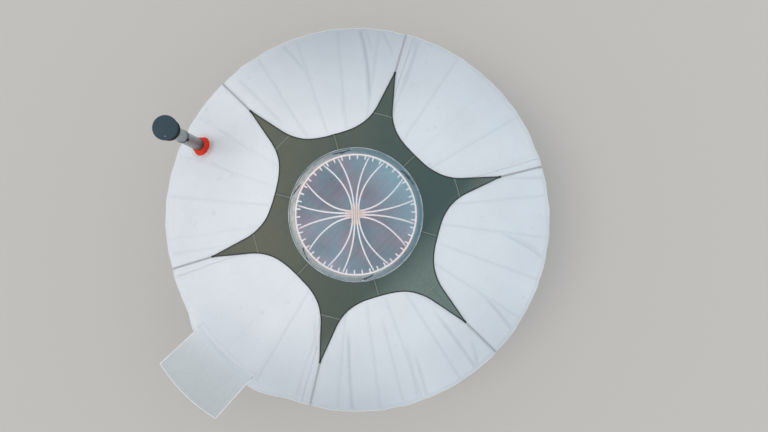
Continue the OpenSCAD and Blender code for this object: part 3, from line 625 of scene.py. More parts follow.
FLUE_TURN = math.radians(200.2)
FLUE_REACH = 2.541
FLUE_CENTRE = Vector((FLUE_REACH * math.cos(FLUE_TURN), FLUE_REACH * math.sin(FLUE_TURN)))
FLUE_R = 0.085
for index in range(6):
    roof_panel(index)

# %% [markdown]
# ## Eave rope
# A rope is sewn into the hem so that the straps have something to pull against. From above it is the thin
# bright line round the tent.

# %% Eave rope
ROPE_R = 0.0055


def sleeve_canvas():
    """Pale cotton canvas, sewn as a sleeve round the rope"""
    material, draw, place = start_material("hem_sleeve_canvas", 0.8)
    stitches, tone = mottled(draw, place, 120.0, 2.0, 0.4, 0.6, "#f0f4f5", "#d5dbde")
    return finish(material, draw, tone, stitches, 0.001, 0.6)


hem_sleeve = sleeve_canvas()
awning_left = math.atan2(-HEM, -AWNING_HALF - 0.012) % math.tau
awning_right = math.atan2(-HEM, AWNING_HALF + 0.012) % math.tau
rope_route = []
for angle in spread(awning_right, awning_left + math.tau, 460):
    rope_route.append(roof_point(HEM, angle % math.tau, 0.0015) + Vector((0, 0, -0.002)))
rope = sweep(bmesh.new(), rope_route, round_section(ROPE_R))
keep_piece("eave_rope", rope, hem_sleeve)

# %% [markdown]
# ## The star cap
# A star of olive canvas covers the top of the roof and sheds the rain that runs off the dome. It is cut from
# six kite-shaped pieces, joined by one seam down each hollow, and each arm has its point sewn on. It is
# painted warmer on one side and cooler on the other, for the light of the sky.

# %% Star canvas
def olive_canvas():
    """Olive proofed canvas: brownish on one side and greenish on the shaded side as painted light, darker
    with painted shade on one arm and paler on another
    """
    material, draw, place = start_material("olive_proofed_canvas", 0.82, Sheen_Weight=0.1)
    cloudy = draw("TexNoise", {"Vector": place, "Scale": 2.2, "Detail": 4.0})
    # Painted light: brownish on the warm side and greenish on the cool side, in random clouds
    side = towards(draw, place, PAINTED_COOL_SIDE, -1.5, 1.0)
    drift = draw("Math", {0: cloudy, 1: 0.5, 2: side}, operation="MULTIPLY_ADD")
    drift = draw("Math", {0: drift, 1: 0.25}, operation="SUBTRACT")
    tone = draw("Mix", {0: drift, 6: "#626352", 7: "#3b534f"}, 2, data_type="RGBA")
    # Painted shade: one arm is darker
    painted_arm_shade = towards(draw, place, -62, 0.7, 1.3, 0.4)
    tone = draw("Mix", {0: painted_arm_shade, 6: tone, 7: "#3f4b43"}, 2, data_type="RGBA")
    paler_arm = towards(draw, place, 2, 0.78, 1.2, 0.6)
    tone = draw("Mix", {0: paler_arm, 6: tone, 7: "#7d8f88"}, 2, data_type="RGBA")
    tone, relief = woven(draw, place, tone, "#333d38", 0.42, 0.35)
    # Its seams are darkened with soil and painted shade
    return finish(material, draw, creased(draw, tone, "#23302b", 0.45), relief, 0.0012)


def woven_webbing(name, light, dark):
    """Woven webbing: ribs 6 mm apart, drawn three times as coarse as they are, paler where it is worn"""
    material, draw, place = start_material(name, 0.7, Sheen_Weight=0.1)
    ribs, tone = mottled(draw, place, 160.0, 1.0, 0.4, 0.6, light, dark)
    tone = mottled(draw, place, 9.0, 4.0, 0.45, 0.75, tone, light, 0.35)[1]
    return finish(material, draw, tone, ribs, 0.0008, 0.6)


star_olive = olive_canvas()
# Flat-felled seams show their lighter, unbleached fold and pale thread
seam_tape = woven_webbing("olive_seam_fold", "#838a7c", "#6b7568")
# The star's edge is bound in a darker tape
edge_tape = woven_webbing("dark_binding_tape", "#1f2826", "#181f1e")
# Each point of the star is doubled with black webbing
black_webbing = woven_webbing("black_webbing", "#17191a", "#0d0f10")
# The straps over the roof are pale grey webbing, and the belts round the wall are darker
strap_webbing = woven_webbing("grey_strap_webbing", "#aeb3b4", "#959b9d")
belt_webbing = woven_webbing("grey_belt_webbing", "#747c84", "#5d656d")
print("star finishes")

# %% [markdown]
# ## Star shape
# The edge of a hollow is one drawn curve that opens into two straight sides, which meet the next hollow's
# at a sharp point. The sheet is a ring of columns from the dome's lip out to that edge, laid on the roof.

# %% Star cap
STAR_IN = 0.868
HOLLOW_R = 1.120
CURVE_END = (1.455, 0.735)
CURVE_POWER = 2.9
CURVE_STEPS = 14
SIDE_STEPS = 11
STAR_T = 0.003
# The radius of each point in turn round the star
TIP_R = [2.176, 2.152, 2.172, 2.186, 2.166, 2.158]
STAR_LIFT = ROOF_T + 0.0012


def hollow_edge(tip_r):
    """Angle from the hollow's middle and radius along one half of its edge"""
    end_out, end_across = CURVE_END
    places = []
    for across in spread(0.0, end_across, CURVE_STEPS):
        places.append((HOLLOW_R + (end_out - HOLLOW_R) * (across / end_across) ** CURVE_POWER, across))
    outs = spread(end_out, tip_r * math.cos(ARM_STEP / 2), SIDE_STEPS)
    acrosses = spread(end_across, tip_r * math.sin(ARM_STEP / 2), SIDE_STEPS)
    places += list(zip(outs, acrosses))[1:]
    return [(math.atan2(across, out), math.hypot(across, out)) for out, across in places]


def star_edge():
    """Directions and radii all the way round the star's edge"""
    edge = []
    for arm in range(ARMS):
        hollow = ARM_STEP * (arm + 0.5)
        before = [(hollow - a, r) for a, r in hollow_edge(TIP_R[arm])][::-1]
        after = [(hollow + a, r) for a, r in hollow_edge(TIP_R[(arm + 1) % ARMS])]
        edge += before[:-1] + after[:-1]
    edge.append((math.tau, TIP_R[0]))
    return edge


def star_billow(reach, angle):
    """Slack folds of the star: shallow hollows that run from the dome out into the arms"""
    spot = Vector((reach * math.cos(angle), reach * math.sin(angle), 0.0))
    folds = noise.noise(Vector((angle * 9.0, reach * 0.7, 3.1))) * ease(reach, 0.9, 1.15)
    taut = 1 - 0.8 * ease(reach, 1.5, 2.0)
    ridge = 0.002 * math.cos(ARMS * from_arm(angle))
    return 0.004 + taut * (0.005 * folds + 0.002 * noise.noise(spot * 6.0)) + ridge


def star_point(angle, reach, lift=0.0):
    """A point on the star cap"""
    return roof_point(reach, angle, STAR_LIFT + star_billow(reach, angle) * ease(reach, 0.87, 1.0) + lift)


edge_line = star_edge()
edge_columns = list(range(len(edge_line)))


def star_place(column, share):
    """The point of the star at one column and share of the way out"""
    angle, radius = edge_line[column]
    reach = (STAR_IN + (radius - STAR_IN) * share) / bay_flatness(angle)
    return star_point(angle, reach)


def star_crease(point):
    """How near a point of the star lies to the seam down its hollow, where soil and painted shade darken it
    """
    heading = math.atan2(point.y, point.x)
    from_hollow = turn_between(heading, (math.floor(heading / ARM_STEP) + 0.5) * ARM_STEP)
    return 0.5 * bump_at(from_hollow * math.hypot(point.x, point.y), 0.03)


star_mesh = sheet_mesh(edge_columns, spread(0, 1, 34), star_place)
mark_creases(star_mesh, star_crease)
star_cap = keep_piece("star_cover", star_mesh, star_olive, ["star_cap"])
thicken(star_cap, STAR_T)
star_area = sum(0.5 * (b[0] - a[0]) * (a[1] * b[1] - STAR_IN ** 2) for a, b in zip(edge_line, edge_line[1:]))
star_area = star_area / math.cos(PITCH)
print("star cloth", round(star_area, 2), "square metres")

# %% [markdown]
# ## Seams, binding and points of the star
# Seams are narrow folded strips, so each is a flat section drawn along the cloth. The binding follows the
# whole edge. The black points are short wide strips of webbing, and a strap comes out from under each.

# %% Star trim
# Where the seam across each arm lies, and half its length
SEAM_OUT = 1.42
SEAM_HALF = 0.134
trim = bmesh.new()
seam_section = flat_section(0.011, 0.0014)
for arm in range(ARMS):
    hollow = ARM_STEP * (arm + 0.5)
    reaches = spread(0.885, HOLLOW_R - 0.015, 10)
    sweep(trim, [star_point(hollow, r / bay_flatness(hollow), STAR_T) for r in reaches], seam_section)
    route = []
    for across in spread(-SEAM_HALF, SEAM_HALF, 24):
        angle = ARM_STEP * arm + math.atan2(across, SEAM_OUT)
        route.append(star_point(angle, math.hypot(SEAM_OUT, across) / bay_flatness(angle), STAR_T))
    sweep(trim, route, seam_section)
keep_piece("star_seams", trim, seam_tape)

binding = bmesh.new()
rim_route = [star_point(a, (r - 0.0075) / bay_flatness(a), STAR_T) for a, r in edge_line]
sweep(binding, rim_route, flat_section(0.016, 0.0016), closed=True)
keep_piece("star_binding", binding, edge_tape)

points = bmesh.new()
for arm in range(ARMS):
    reaches = spread(TIP_R[arm] - 0.058, TIP_R[arm] + 0.006, 8)
    route = [star_point(ARM_STEP * arm, reach, STAR_T + 0.001) for reach in reaches]
    sweep(points, route, flat_section(0.031, 0.003))
keep_piece("star_points", points, black_webbing)

# %% [markdown]
# ## Hold-down straps
# A strap runs from each point of the star down the roof, over the shoulder and the hem, and then taut to the
# foot of the wall. Webbing is a flat section, drawn along the very line that the cloth takes.

# %% Straps
STRAP_W = 0.027
STRAP_T = 0.002
WALL_OUT = 2.844
# The strap's last run stands upright between these heights, under its plate
STRAP_FOOT = (0.228, 0.268)
# Over the shoulder the strap's points lie closer, and its upper side leans over step by step
OVER_SHOULDER = [2.86, 2.868, 2.876, 2.886, 2.9, 2.92, 2.94, 2.955]
straps = bmesh.new()
for arm in range(ARMS):
    axis = ARM_STEP * arm
    out = outward(axis)
    reaches = spread(TIP_R[arm] - 0.02, 2.85, 26) + OVER_SHOULDER
    route = [roof_point(r, axis, ROOF_T + 0.0008) for r in reaches]
    on_slope = len(route) - len(OVER_SHOULDER) + 1
    ups = [(out * SLOPE + Vector((0, 0, 1))).normalized()] * on_slope
    ups += [(out * (0.6 + 0.13 * k) + Vector((0, 0, 1 - 0.07 * k))).normalized()
            for k in range(len(route) - on_slope)]
    hem_point = route[-1] + out * 0.011 + Vector((0, 0, -0.016))
    wall_start = out * (WALL_OUT + 0.006) + Vector((0, 0, STRAP_FOOT[1]))
    route += [hem_point] + [hem_point.lerp(wall_start, k / 12) for k in range(1, 13)]
    route.append(out * (WALL_OUT + 0.006) + Vector((0, 0, STRAP_FOOT[0])))
    ups += [out] * (len(route) - len(ups))
    sweep(straps, route, flat_section(STRAP_W, STRAP_T), up=ups)
keep_piece("cover_straps", straps, strap_webbing, ["star_straps"])

# %% [markdown]
# ## Strap fittings
# Each strap is drawn tight by a steel buckle at hand height, and a screwed plate holds it at the wall's foot.
# The buckle is a bent round wire, so it is a round section swept round a rectangle with eased corners.

# %% Strap fittings
def buckle_route(centre, out, half_w, half_h):
    """A rectangle with eased corners that stands against the wall"""
    side = Vector((-out.y, out.x, 0))
    up = Vector((0, 0, 1))
    route = []
    for corner in range(4):
        sign_w = 1 if corner in (0, 3) else -1
        sign_h = 1 if corner in (0, 1) else -1
        middle = centre + side * sign_w * (half_w - 0.005) + up * sign_h * (half_h - 0.005)
        for k in range(5):
            turn = (corner + k / 4) * math.pi / 2
            route.append(middle + side * 0.005 * math.cos(turn) + up * 0.005 * math.sin(turn))
    return route + [route[0]]


def galvanised_steel():
    """Hot-dip galvanised wire and plate: dull grey with a mottled bloom"""
    material, draw, place = start_material("galvanised_steel", 0.45, Metallic=1.0)
    bloom, tone = mottled(draw, place, 90.0, 3.0, 0.35, 0.65, "#a9aeb1", "#868c90")
    return finish(material, draw, tone, bloom, 0.0003, 0.4)


BUCKLE_Z = 1.12
galvanised = galvanised_steel()
fittings = bmesh.new()
for arm in range(ARMS):
    axis = ARM_STEP * arm
    out = outward(axis)
    hem_radius = HEM * bay_flatness(axis) + 0.011
    share = (shoulder_z - HEM_DROP - BUCKLE_Z) / (shoulder_z - HEM_DROP - STRAP_FOOT[1])
    radius = hem_radius + (WALL_OUT + 0.006 - hem_radius) * share
    buckle_at = out * (radius + 0.003) + Vector((0, 0, BUCKLE_Z))
    for offset in (0.0, 0.030):
        route = buckle_route(buckle_at + Vector((0, 0, offset)), out, 0.020, 0.0145)
        sweep(fittings, route, round_section(0.002, 6), up=out, closed=True)
    plate_at = out * (WALL_OUT + 0.010) + Vector((0, 0, STRAP_FOOT[0] + 0.008))
    join_into(fittings, eased_block((0.004, 0.046, 0.030), plate_at, axis, 0.0012))
    for aside in (-0.017, 0.017):
        screw_at = plate_at + Vector((-out.y, out.x, 0)) * aside + out * 0.0025
        join_into(fittings, eased_block((0.003, 0.007, 0.007), screw_at, axis, 0.0008))
keep_piece("strap_fittings", fittings, galvanised)

# %% [markdown]
# ## Gathered collar
# Where the star's neck meets the crown, spare canvas is gathered under the dome's lip. It shows through the
# clear lip as fine pleats, with a few deep folds that look like dark slits.

# %% Collar
COLLAR_IN = 0.798
COLLAR_OUT = 0.868
ring_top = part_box("crown_ring")[1].z
# Directions in degrees of the deep folds, and how they lean along the collar
SLITS = [(149.5, 0.1), (143.2, -0.9), (201.5, 1), (83.5, -0.9), (77.5, -0.5), (324.5, -1), (262.5, 1)]


def collar_canvas():
    """White canvas, painted greenish grey on its shaded side, greyer towards another, and painted nearly
    black deep in its folds for the shade there
    """
    material, draw, place = start_material("gathered_collar_canvas", 0.8)
    # Painted shade: greenish grey on the side away from the light
    side = towards(draw, place, PAINTED_COOL_SIDE + 20, -0.80, 0.35)
    tone = draw("Mix", {0: side, 6: "#d2cbc2", 7: "#67838d"}, 2, data_type="RGBA")
    greyed = towards(draw, place, -78, 0.42, 0.8, 0.6)
    tone = draw("Mix", {0: greyed, 6: tone, 7: "#7f9294"}, 2, data_type="RGBA")
    stains, tone = mottled(draw, place, 14.0, 3.0, 0.4, 0.7, tone, "#768b91", 0.6)
    # The deep folds are painted nearly black, for the shade inside them
    return finish(material, draw, creased(draw, tone, "#040606", 1.0), stains, 0.002, 0.6)


def slit_depth(angle, radius):
    """How deep in one of the slanting folds a point of the collar lies, from 0 to 1"""
    deep = 0.0
    for degrees, lean in SLITS:
        away = math.degrees(turn_between(angle, math.radians(degrees)))
        line = 0.840 + lean * away * 0.0042 + 0.004 * noise.noise(Vector((angle * 30.0, degrees, 3.0)))
        inside = 1 - ease(abs(away), 4.5, 7.0)
        width = 0.0100 + 0.005 * noise.noise(Vector((angle * 40.0, degrees, 0.0)))
        deep = max(deep, inside * math.exp(-((radius - line) / width) ** 4))
    return deep


def collar_place(angle, share):
    """A point of the collar from inside the ring, over it and down to the star"""
    radius = COLLAR_IN + (COLLAR_OUT - COLLAR_IN) * share
    level = ring_top + 0.0045
    drop = level - (roof_point(COLLAR_OUT, angle, STAR_LIFT + 0.002).z + 0.001)
    height = level - drop * ease(radius, 0.806, COLLAR_OUT + 0.02) * 1.25
    pleat = noise.noise(Vector((angle * 34.0, radius * 9.0, 0.5))) * 0.0028
    return Vector((radius * math.cos(angle), radius * math.sin(angle),
                   height + pleat * ease(radius, 0.8, 0.84) - 0.005 * slit_depth(angle, radius)))


collar_mesh = sheet_mesh(spread(0, math.tau, 540), spread(0, 1, 18), collar_place)
mark_creases(collar_mesh, lambda point: slit_depth(math.atan2(point.y, point.x), point.to_2d().length))
collar = keep_piece("gathered_collar", collar_mesh, collar_canvas(), ["dome_collar"])
thicken(collar, 0.0015)

# %% [markdown]
# ## Clear dome
# The dome is acrylic sheet, heated and drawn to a shallow cap with a flat rim. Acrylic is clear with an IOR
# of 1.49. After some years it has a faint bluish haze. That haze and a painted reflection of the sky, in
# bluish and mauve patches, are given here as a small share of solid colour, so that the crown below is still
# seen sharply.

# %% Dome
LIP_R = 0.876
DOME_FOOT = 0.812
DOME_T = 0.005
dome_low, dome_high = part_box("dome")
LIP_TURN = 0.012
lip_z = dome_low.z + LIP_TURN
DOME_RISE = dome_high.z - lip_z


def clear_acrylic():
    """Weathered clear acrylic: a faint haze with bluish and mauve patches of painted sky reflection on its
    curve, and fine scratches in its gloss
    """
    material, draw, place = start_material("weathered_clear_acrylic", 0.2, IOR=1.49, Specular_IOR_Level=0.35)
    # Bluish and mauve patches: a painted reflection of the sky and clouds
    tone = mottled(draw, place, 3.4, 3.0, 0.42, 0.60, "#c9e6f6", "#e2e0f2", twist=0.6)[1]
    # Towards one side the painted reflection is stronger and bluer
    painted_reflection_side = towards(draw, place, 80, 0.25, 0.65)
    tone = draw("Mix", {0: painted_reflection_side, 6: tone, 7: "#c4eeff"}, 2, data_type="RGBA")
    # The share of solid colour: the acrylic's own haze, and the painted reflection of the sky
    bloom = draw("TexNoise", {"Vector": place, "Scale": 2.1, "Detail": 4.0})
    haze = {"Value": bloom, "From Min": 0.35, "From Max": 0.70, "To Min": 0.08, "To Max": 0.16}
    haze = draw("MapRange", haze)
    haze = draw("Math", {0: painted_reflection_side, 1: 0.08, 2: haze}, operation="MULTIPLY_ADD")
    haze = draw("Math", {0: towards(draw, place, -70, 0.0, 0.7, 0.04), 1: haze}, operation="ADD")
    curved = from_middle(draw, place, 0.800, 0.775)
    haze = draw("Math", {0: haze, 1: curved, 2: 0.03}, operation="MULTIPLY_ADD")
    scratches = draw("TexNoise", {"Vector": place, "Scale": 60.0, "Detail": 4.0})
    gloss = {"Value": scratches, "From Min": 0.3, "From Max": 0.8, "To Min": 0.16, "To Max": 0.32}
    return finish(material, draw, tone, Alpha=haze, Roughness=draw("MapRange", gloss))


ball = (DOME_FOOT ** 2 + DOME_RISE ** 2) / (2 * DOME_RISE)
foot_turn = math.asin(DOME_FOOT / ball)
inner_turn = math.acos((ball - DOME_RISE) / (ball - DOME_T))


def arc(radius, middle, first, last):
    """Points of an arc in an upright plane through the axis, by the angle from straight up"""
    return [(radius * math.sin(turn), middle + radius * math.cos(turn)) for turn in spread(first, last, 30)]


ball_middle = lip_z + DOME_RISE - ball
outline = arc(ball, ball_middle, 0.0, foot_turn)
outline += [(DOME_FOOT + 0.004, lip_z + 0.0056), (DOME_FOOT + 0.009, lip_z + DOME_T)]
outline += [(LIP_R + out, lip_z + up) for out, up in (
    (-0.003, DOME_T), (-0.0008, DOME_T - 0.0009), (0.0, DOME_T - 0.003), (0.0, -LIP_TURN),
    (-DOME_T, -LIP_TURN), (-DOME_T, 0.0))]
outline += arc(ball - DOME_T, ball_middle, inner_turn, 0.0)
keep_piece("clear_dome", turned(outline, steps=144), clear_acrylic(), ["dome"])

# %% [markdown]
# ## Rim of the dome
# The flange is turned down at its edge. Seen from above, that edge is looked at end on, so light gathers in
# it and it shows as a pale line. It is a thin bead of its own, because the line is wider than a sharp corner.

# %% Rim of the dome
def edge_painted_highlight():
    """The polished edge of the sheet, painted nearly white as a highlight for the light that gathers in it"""
    material, draw, place = start_material("acrylic_edge_painted_highlight", 0.2, IOR=1.49, Alpha=0.85)
    return finish(material, draw, mottled(draw, place, 7.0, 4.0, 0.38, 0.66, "#d3e1e6", "#8ba1a8")[1])


# The bead, as distances out and up from the lip
BEAD = [(-0.0075, 0.0052), (-0.0055, 0.0068), (-0.002, 0.0066), (0.0008, 0.0045), (0.0014, 0.001),
        (0.0014, -LIP_TURN), (0.0002, -LIP_TURN - 0.001), (0.0002, 0.0035), (-0.002, 0.0053),
        (-0.0075, 0.0052)]
keep_piece("dome_edge", turned(BEAD, (LIP_R, lip_z), steps=144), edge_painted_highlight())

# %% [markdown]
# ## Crown laths
# Eight flat laths of ash are steamed and bent over the crown ring in two crossing sets. Beside the middle all
# four of a set run side by side. From there each bends out to a socket of the ring between two rafter tips.

# %% Pale timber
def timber(name, light, dark, grain_mm, roughness=0.55, along=(0.0, 0.0, 1.0), coat=0.0):
    """Timber with its fibres drawn out along one axis"""
    material, draw, place = start_material(name, roughness, Coat_Weight=coat)
    squeeze = draw("Mapping", {"Vector": place, "Scale": tuple(0.06 if value else 1.0 for value in along)})
    tone = mottled(draw, squeeze, 120.0 / grain_mm, 3.0, 0.35, 0.65, light, dark)[1]
    fibres, tone = mottled(draw, squeeze, 1000.0 / grain_mm, 4.0, 0.35, 0.75, tone, dark, 0.35)
    gloss = {"Value": fibres, "From Min": 0.3, "From Max": 0.7, "To Min": roughness - 0.08,
             "To Max": roughness + 0.1}
    return finish(material, draw, tone, fibres, 0.0006, Roughness=draw("MapRange", gloss))


CROWN_IN = 0.772
LATH_W = 0.021
LATH_T = 0.012
LATH_PITCH = 0.026
LATH_FOOT = 3.0706
LATH_REACH = CROWN_IN + 0.014
# How late a lath bends out on its way from the middle to the ring
LATH_BEND = 2.2
CROWN_ARCH = 0.185


def crown_timber():
    """Steam-bent ash, sanded nearly white on top, with painted peach shade on its sides, and peach ends and
    crossing that are partly oil and partly painted shade
    """
    material, draw, place = start_material("steam_bent_ash", 0.5)
    fine, tone = mottled(draw, place, 70.0, 4.0, 0.35, 0.65, "#fffaf6", "#fbeee6")
    # Peach at the crossing and near the ring: oil, and painted shade
    oil_and_shade = draw("Math", {0: from_middle(draw, place, 0.17, 0.06, 0.8),
                          1: from_middle(draw, place, 0.66, 0.78, 0.45)}, operation="ADD")
    tone = draw("Mix", {0: oil_and_shade, 6: tone, 7: "#f0c9ac"}, 2, data_type="RGBA")
    # Painted shade: faces that turn from straight up go darker peach
    upward = draw("SeparateXYZ", {0: draw("NewGeometry", {}, "Normal")}, "Z")
    edge = draw("MapRange", {"Value": upward, "From Min": 0.75, "From Max": 0.35})
    tone = draw("Mix", {0: edge, 6: tone, 7: "#e0a583"}, 2, data_type="RGBA")
    return finish(material, draw, tone, fine)


crown_ash = crown_timber()
# The crossing's plates are oiled ply, peach between the white laths
crossing_ash = timber("oiled_ash_ply", "#f3cdb2", "#e2b191", 6, 0.6, along=(1.0, 0.0, 0.0))


def lath_route(offset, end_angle, lift):
    """The route of one crown lath over the middle"""
    route = []
    for way in spread(-1, 1, 72):
        share = abs(way)
        along = LATH_REACH * math.cos(end_angle) * way
        aside = offset + (LATH_REACH * math.sin(end_angle) - offset) * share ** LATH_BEND
        route.append(Vector((along, aside, LATH_FOOT + (lift + CROWN_ARCH) * (1 - share * share))))
    return route


def lath_set(name, axis_bays, ends, lift, stands_for):
    """One of the two crossing sets of crown laths"""
    mesh = bmesh.new()
    turn = Matrix.Rotation(axis_bays * BAY, 3, "Z")
    section = [(a, b - LATH_T / 2) for a, b in flat_section(LATH_W, LATH_T, 0.22)]
    for side in (-1, 1):
        for place, end in zip((0.5, 1.5), ends):
            route = lath_route(place * LATH_PITCH, end * BAY, lift)
            sweep(mesh, [turn @ Vector((point.x, side * point.y, point.z)) for point in route], section)
    bmesh.ops.recalc_face_normals(mesh, faces=mesh.faces)
    keep_piece(name, mesh, crown_ash, [stands_for])


lath_set("crown_laths_low", 6, (1.5, 4.5), 0.0, "crown_laths_lower")
lath_set("crown_laths_high", 6 + RAFTERS / 4, (2, 4), LATH_T + 0.001, "crown_laths_upper")
# Under each set of laths a thin plate of ply is glued to keep them apart
PLATE_LONG = 0.26
PLATE_WIDE = 0.106
PLATE_T = 0.007
crossing_z = LATH_FOOT + CROWN_ARCH - LATH_T / 2 - 0.0045
crossing = eased_block((PLATE_LONG, PLATE_WIDE, PLATE_T), (0, 0, crossing_z), 6 * BAY, 0.001)
upper_place = (0, 0, crossing_z + 0.0125)
join_into(crossing, eased_block((PLATE_WIDE, PLATE_LONG, PLATE_T), upper_place, 6 * BAY, 0.001))
keep_piece("crown_crossing", crossing, crossing_ash)

# %% [markdown]
# ## Timber that keeps its solid
# Joists, lattice, rafters, the crown ring, the door and its frame, and the awning's rails already have their
# true shape in the frame, so they keep it. A weld joins their loose triangles, and a split at the sharp edges
# lets round poles shade as round.

# %% Timber finishes
SMOOTH_UNDER = 35


def dress(names, material, eased=0.0):
    """Gives carried-over nodes a finish, soft shading between their sharp edges and, if asked, eased edges"""
    for name in names:
        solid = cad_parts[name]
        solid.data.materials.clear()
        solid.data.materials.append(material)
        solid.modifiers.new("weld", "WELD").merge_threshold = 0.00002
        if eased:
            flat = solid.modifiers.new("flat faces", "DECIMATE")
            flat.decimate_type = "DISSOLVE"
            flat.angle_limit = math.radians(1)
            bevel = solid.modifiers.new("eased edges", "BEVEL")
            bevel.width = eased
            bevel.segments = 3
            bevel.limit_method = "ANGLE"
        split = solid.modifiers.new("edges", "EDGE_SPLIT")
        split.split_angle = math.radians(SMOOTH_UNDER)
        solid.data.polygons.foreach_set("use_smooth", [True] * len(solid.data.polygons))


def round_timber(name, light, dark, roughness, tip=None):
    """Ash worked round the tent, with tips planed pale where they pass through the crown ring"""
    material, draw, place = start_material(name, roughness)
    tone = mottled(draw, place, 9.0, 5.0, 0.35, 0.65, light, dark, twist=1.5)[1]
    pores, tone = mottled(draw, place, 140.0, 2.0, 0.4, 0.7, tone, dark, 0.25)
    if tip:
        tone = draw("Mix", {0: from_middle(draw, place, 0.80, 0.77), 6: tone, 7: tip}, 2, data_type="RGBA")
    return finish(material, draw, tone, pores, 0.0006)


sawn_spruce = timber("sawn_spruce", "#b98f61", "#94683f", 9, 0.75, along=(1.0, 0.0, 0.0))
pine_boards = timber("limed_pine_boards", "#dfe9f3", "#c8d3df", 10, 0.5, along=(0.0, 1.0, 0.0))
planed_ash = round_timber("planed_ash_laths", "#cda779", "#b18a5c", 0.6)
peeled_ash = round_timber("peeled_ash_poles", "#d9b991", "#bf9a6d", 0.55, tip="#fffdfa")
oiled_larch = timber("oiled_larch", "#7d5334", "#5c3922", 12, 0.48, coat=0.15)
dress(["floor_joists"], sawn_spruce)
dress([f"lattice_{k}" for k in range(1, 5)], planed_ash)
dress([f"rafters_{k}" for k in range(1, 5)], peeled_ash)
dress(["door_post_left", "door_post_right", "door_lintel", "door_threshold", "door_leaf"], oiled_larch,
      0.0022)
dress(["awning_frame"], planed_ash)

# %% [markdown]
# ## Wedges over the rafter tips
# Each rafter ends in a socket of the crown ring, and its square tip sticks out inside. A thin wedge driven in
# over the tip keeps it tight, and its fresh top shows as a short pale mark. The tips in the frame say how
# high the wedges lie.

# %% Rafter wedges
wedge_ash = timber("fresh_cleft_ash", "#fffdfa", "#fdf4ec", 5, 0.5)
WEDGE_W = 0.018
tip_verts = [vert.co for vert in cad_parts["rafters_1"].data.vertices if vert.co.to_2d().length < 0.76]
tip_top = max(tip_verts, key=lambda point: point.z)
TIP_TOP = tip_top.z
TIP_AT = tip_top.to_2d().length
wedges = bmesh.new()
for k in range(RAFTERS):
    wedge = bmesh.new()
    bmesh.ops.create_cube(wedge, size=1.0)
    for vert in wedge.verts:
        reach = CROWN_IN + 0.004 if vert.co.x > 0 else TIP_AT - 0.008
        top = TIP_TOP - 0.005 if vert.co.x > 0 else TIP_TOP + 0.003
        seat = TIP_TOP - (reach - TIP_AT) * SLOPE - 0.0015
        vert.co = (reach, vert.co.y * WEDGE_W, top if vert.co.z > 0 else min(seat, TIP_TOP - 0.0015))
    bmesh.ops.bevel(wedge, geom=wedge.edges[:], offset=0.0008, offset_type="OFFSET", segments=1, profile=0.5,
                    affect="EDGES", material=-1)
    bmesh.ops.rotate(wedge, matrix=Matrix.Rotation(k * BAY, 3, "Z"), cent=(0, 0, 0), verts=wedge.verts)
    join_into(wedges, wedge)
keep_piece("rafter_wedges", wedges, wedge_ash, smooth=False)
print("tips end at", round(TIP_AT, 3), "and", round(TIP_TOP, 3))

# %% [markdown]
# ## Floor boards
# The floor is laid with planed boards. Each is a strip cut from the round floor by two planes and then
# thickened, so the outermost boards get the round floor's edge for free.

# %% Floor boards
BOARD_W = 0.118
BOARD_GAP = 0.0025
floor_low, floor_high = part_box("floor_boards")
FLOOR_R = floor_high.x - 0.0005
boards = bmesh.new()
board_count = math.ceil(FLOOR_R / BOARD_W)
for k in range(-board_count, board_count):
    strip = bmesh.new()
    bmesh.ops.create_circle(strip, cap_ends=True, segments=184, radius=FLOOR_R)
    for way, cut_x in ((1, (k + 1) * BOARD_W - BOARD_GAP / 2), (-1, k * BOARD_W + BOARD_GAP / 2)):
        bmesh.ops.bisect_plane(strip, geom=strip.verts[:] + strip.edges[:] + strip.faces[:],
                               plane_co=(cut_x, 0, 0), plane_no=(way, 0, 0), clear_outer=True)
    grown = bmesh.ops.extrude_face_region(strip, geom=strip.faces[:])["geom"]
    bmesh.ops.translate(strip, vec=(0, 0, floor_high.z - floor_low.z),
                        verts=[part for part in grown if isinstance(part, bmesh.types.BMVert)])
    bmesh.ops.translate(strip, vec=(0, 0, floor_low.z), verts=strip.verts)
    bmesh.ops.recalc_face_normals(strip, faces=strip.faces)
    join_into(boards, strip)
keep_piece("floor_planks", boards, pine_boards, ["floor_boards"], smooth=False)

# %% [markdown]
# ## Rim boards
# The ends of the joists are closed by short upright boards, one to each rafter's bay, each screwed on twice.

# %% Rim boards
RIM_T = 0.028
rim_low, rim_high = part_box("platform_rim")
rim_boards = bmesh.new()
rim_screws = bmesh.new()
rim_height = rim_high.z - rim_low.z
face_r = FLOOR_R * math.cos(BAY / 2)
for k in range(RAFTERS):
    turn = (k + 0.5) * BAY
    out = outward(turn)
    middle = out * (face_r - RIM_T / 2) + Vector((0, 0, rim_low.z + rim_height / 2))
    length = 2 * (face_r - RIM_T) * math.tan(BAY / 2) - 0.003
    join_into(rim_boards, eased_block((RIM_T, length, rim_height), middle, turn, 0.003))
    for aside, level in ((-0.15, 0.035), (-0.15, 0.115), (0.15, 0.035), (0.15, 0.115)):
        screw_at = out * (face_r + 0.0006) + Vector((-out.y, out.x, 0)) * aside
        screw_at.z += rim_low.z + level
        screw = bmesh.new()
        bmesh.ops.create_cone(screw, cap_ends=True, segments=8, radius1=0.0045, radius2=0.0038, depth=0.0016)
        bmesh.ops.transform(screw, matrix=Matrix.Translation(screw_at) @ Matrix.Rotation(turn, 4, "Z")
                            @ Matrix.Rotation(math.pi / 2, 4, "Y"), verts=screw.verts)
        join_into(rim_screws, screw)
keep_piece("rim_boards", rim_boards, sawn_spruce, ["platform_rim"], smooth=False)
keep_piece("rim_screws", rim_screws, galvanised, smooth=False)

# %% [markdown]
# ## Crown ring
# The ring is laminated ash. Its top edge is planed pale, and its inner face and outer edge are painted orange
# for the shade on them.

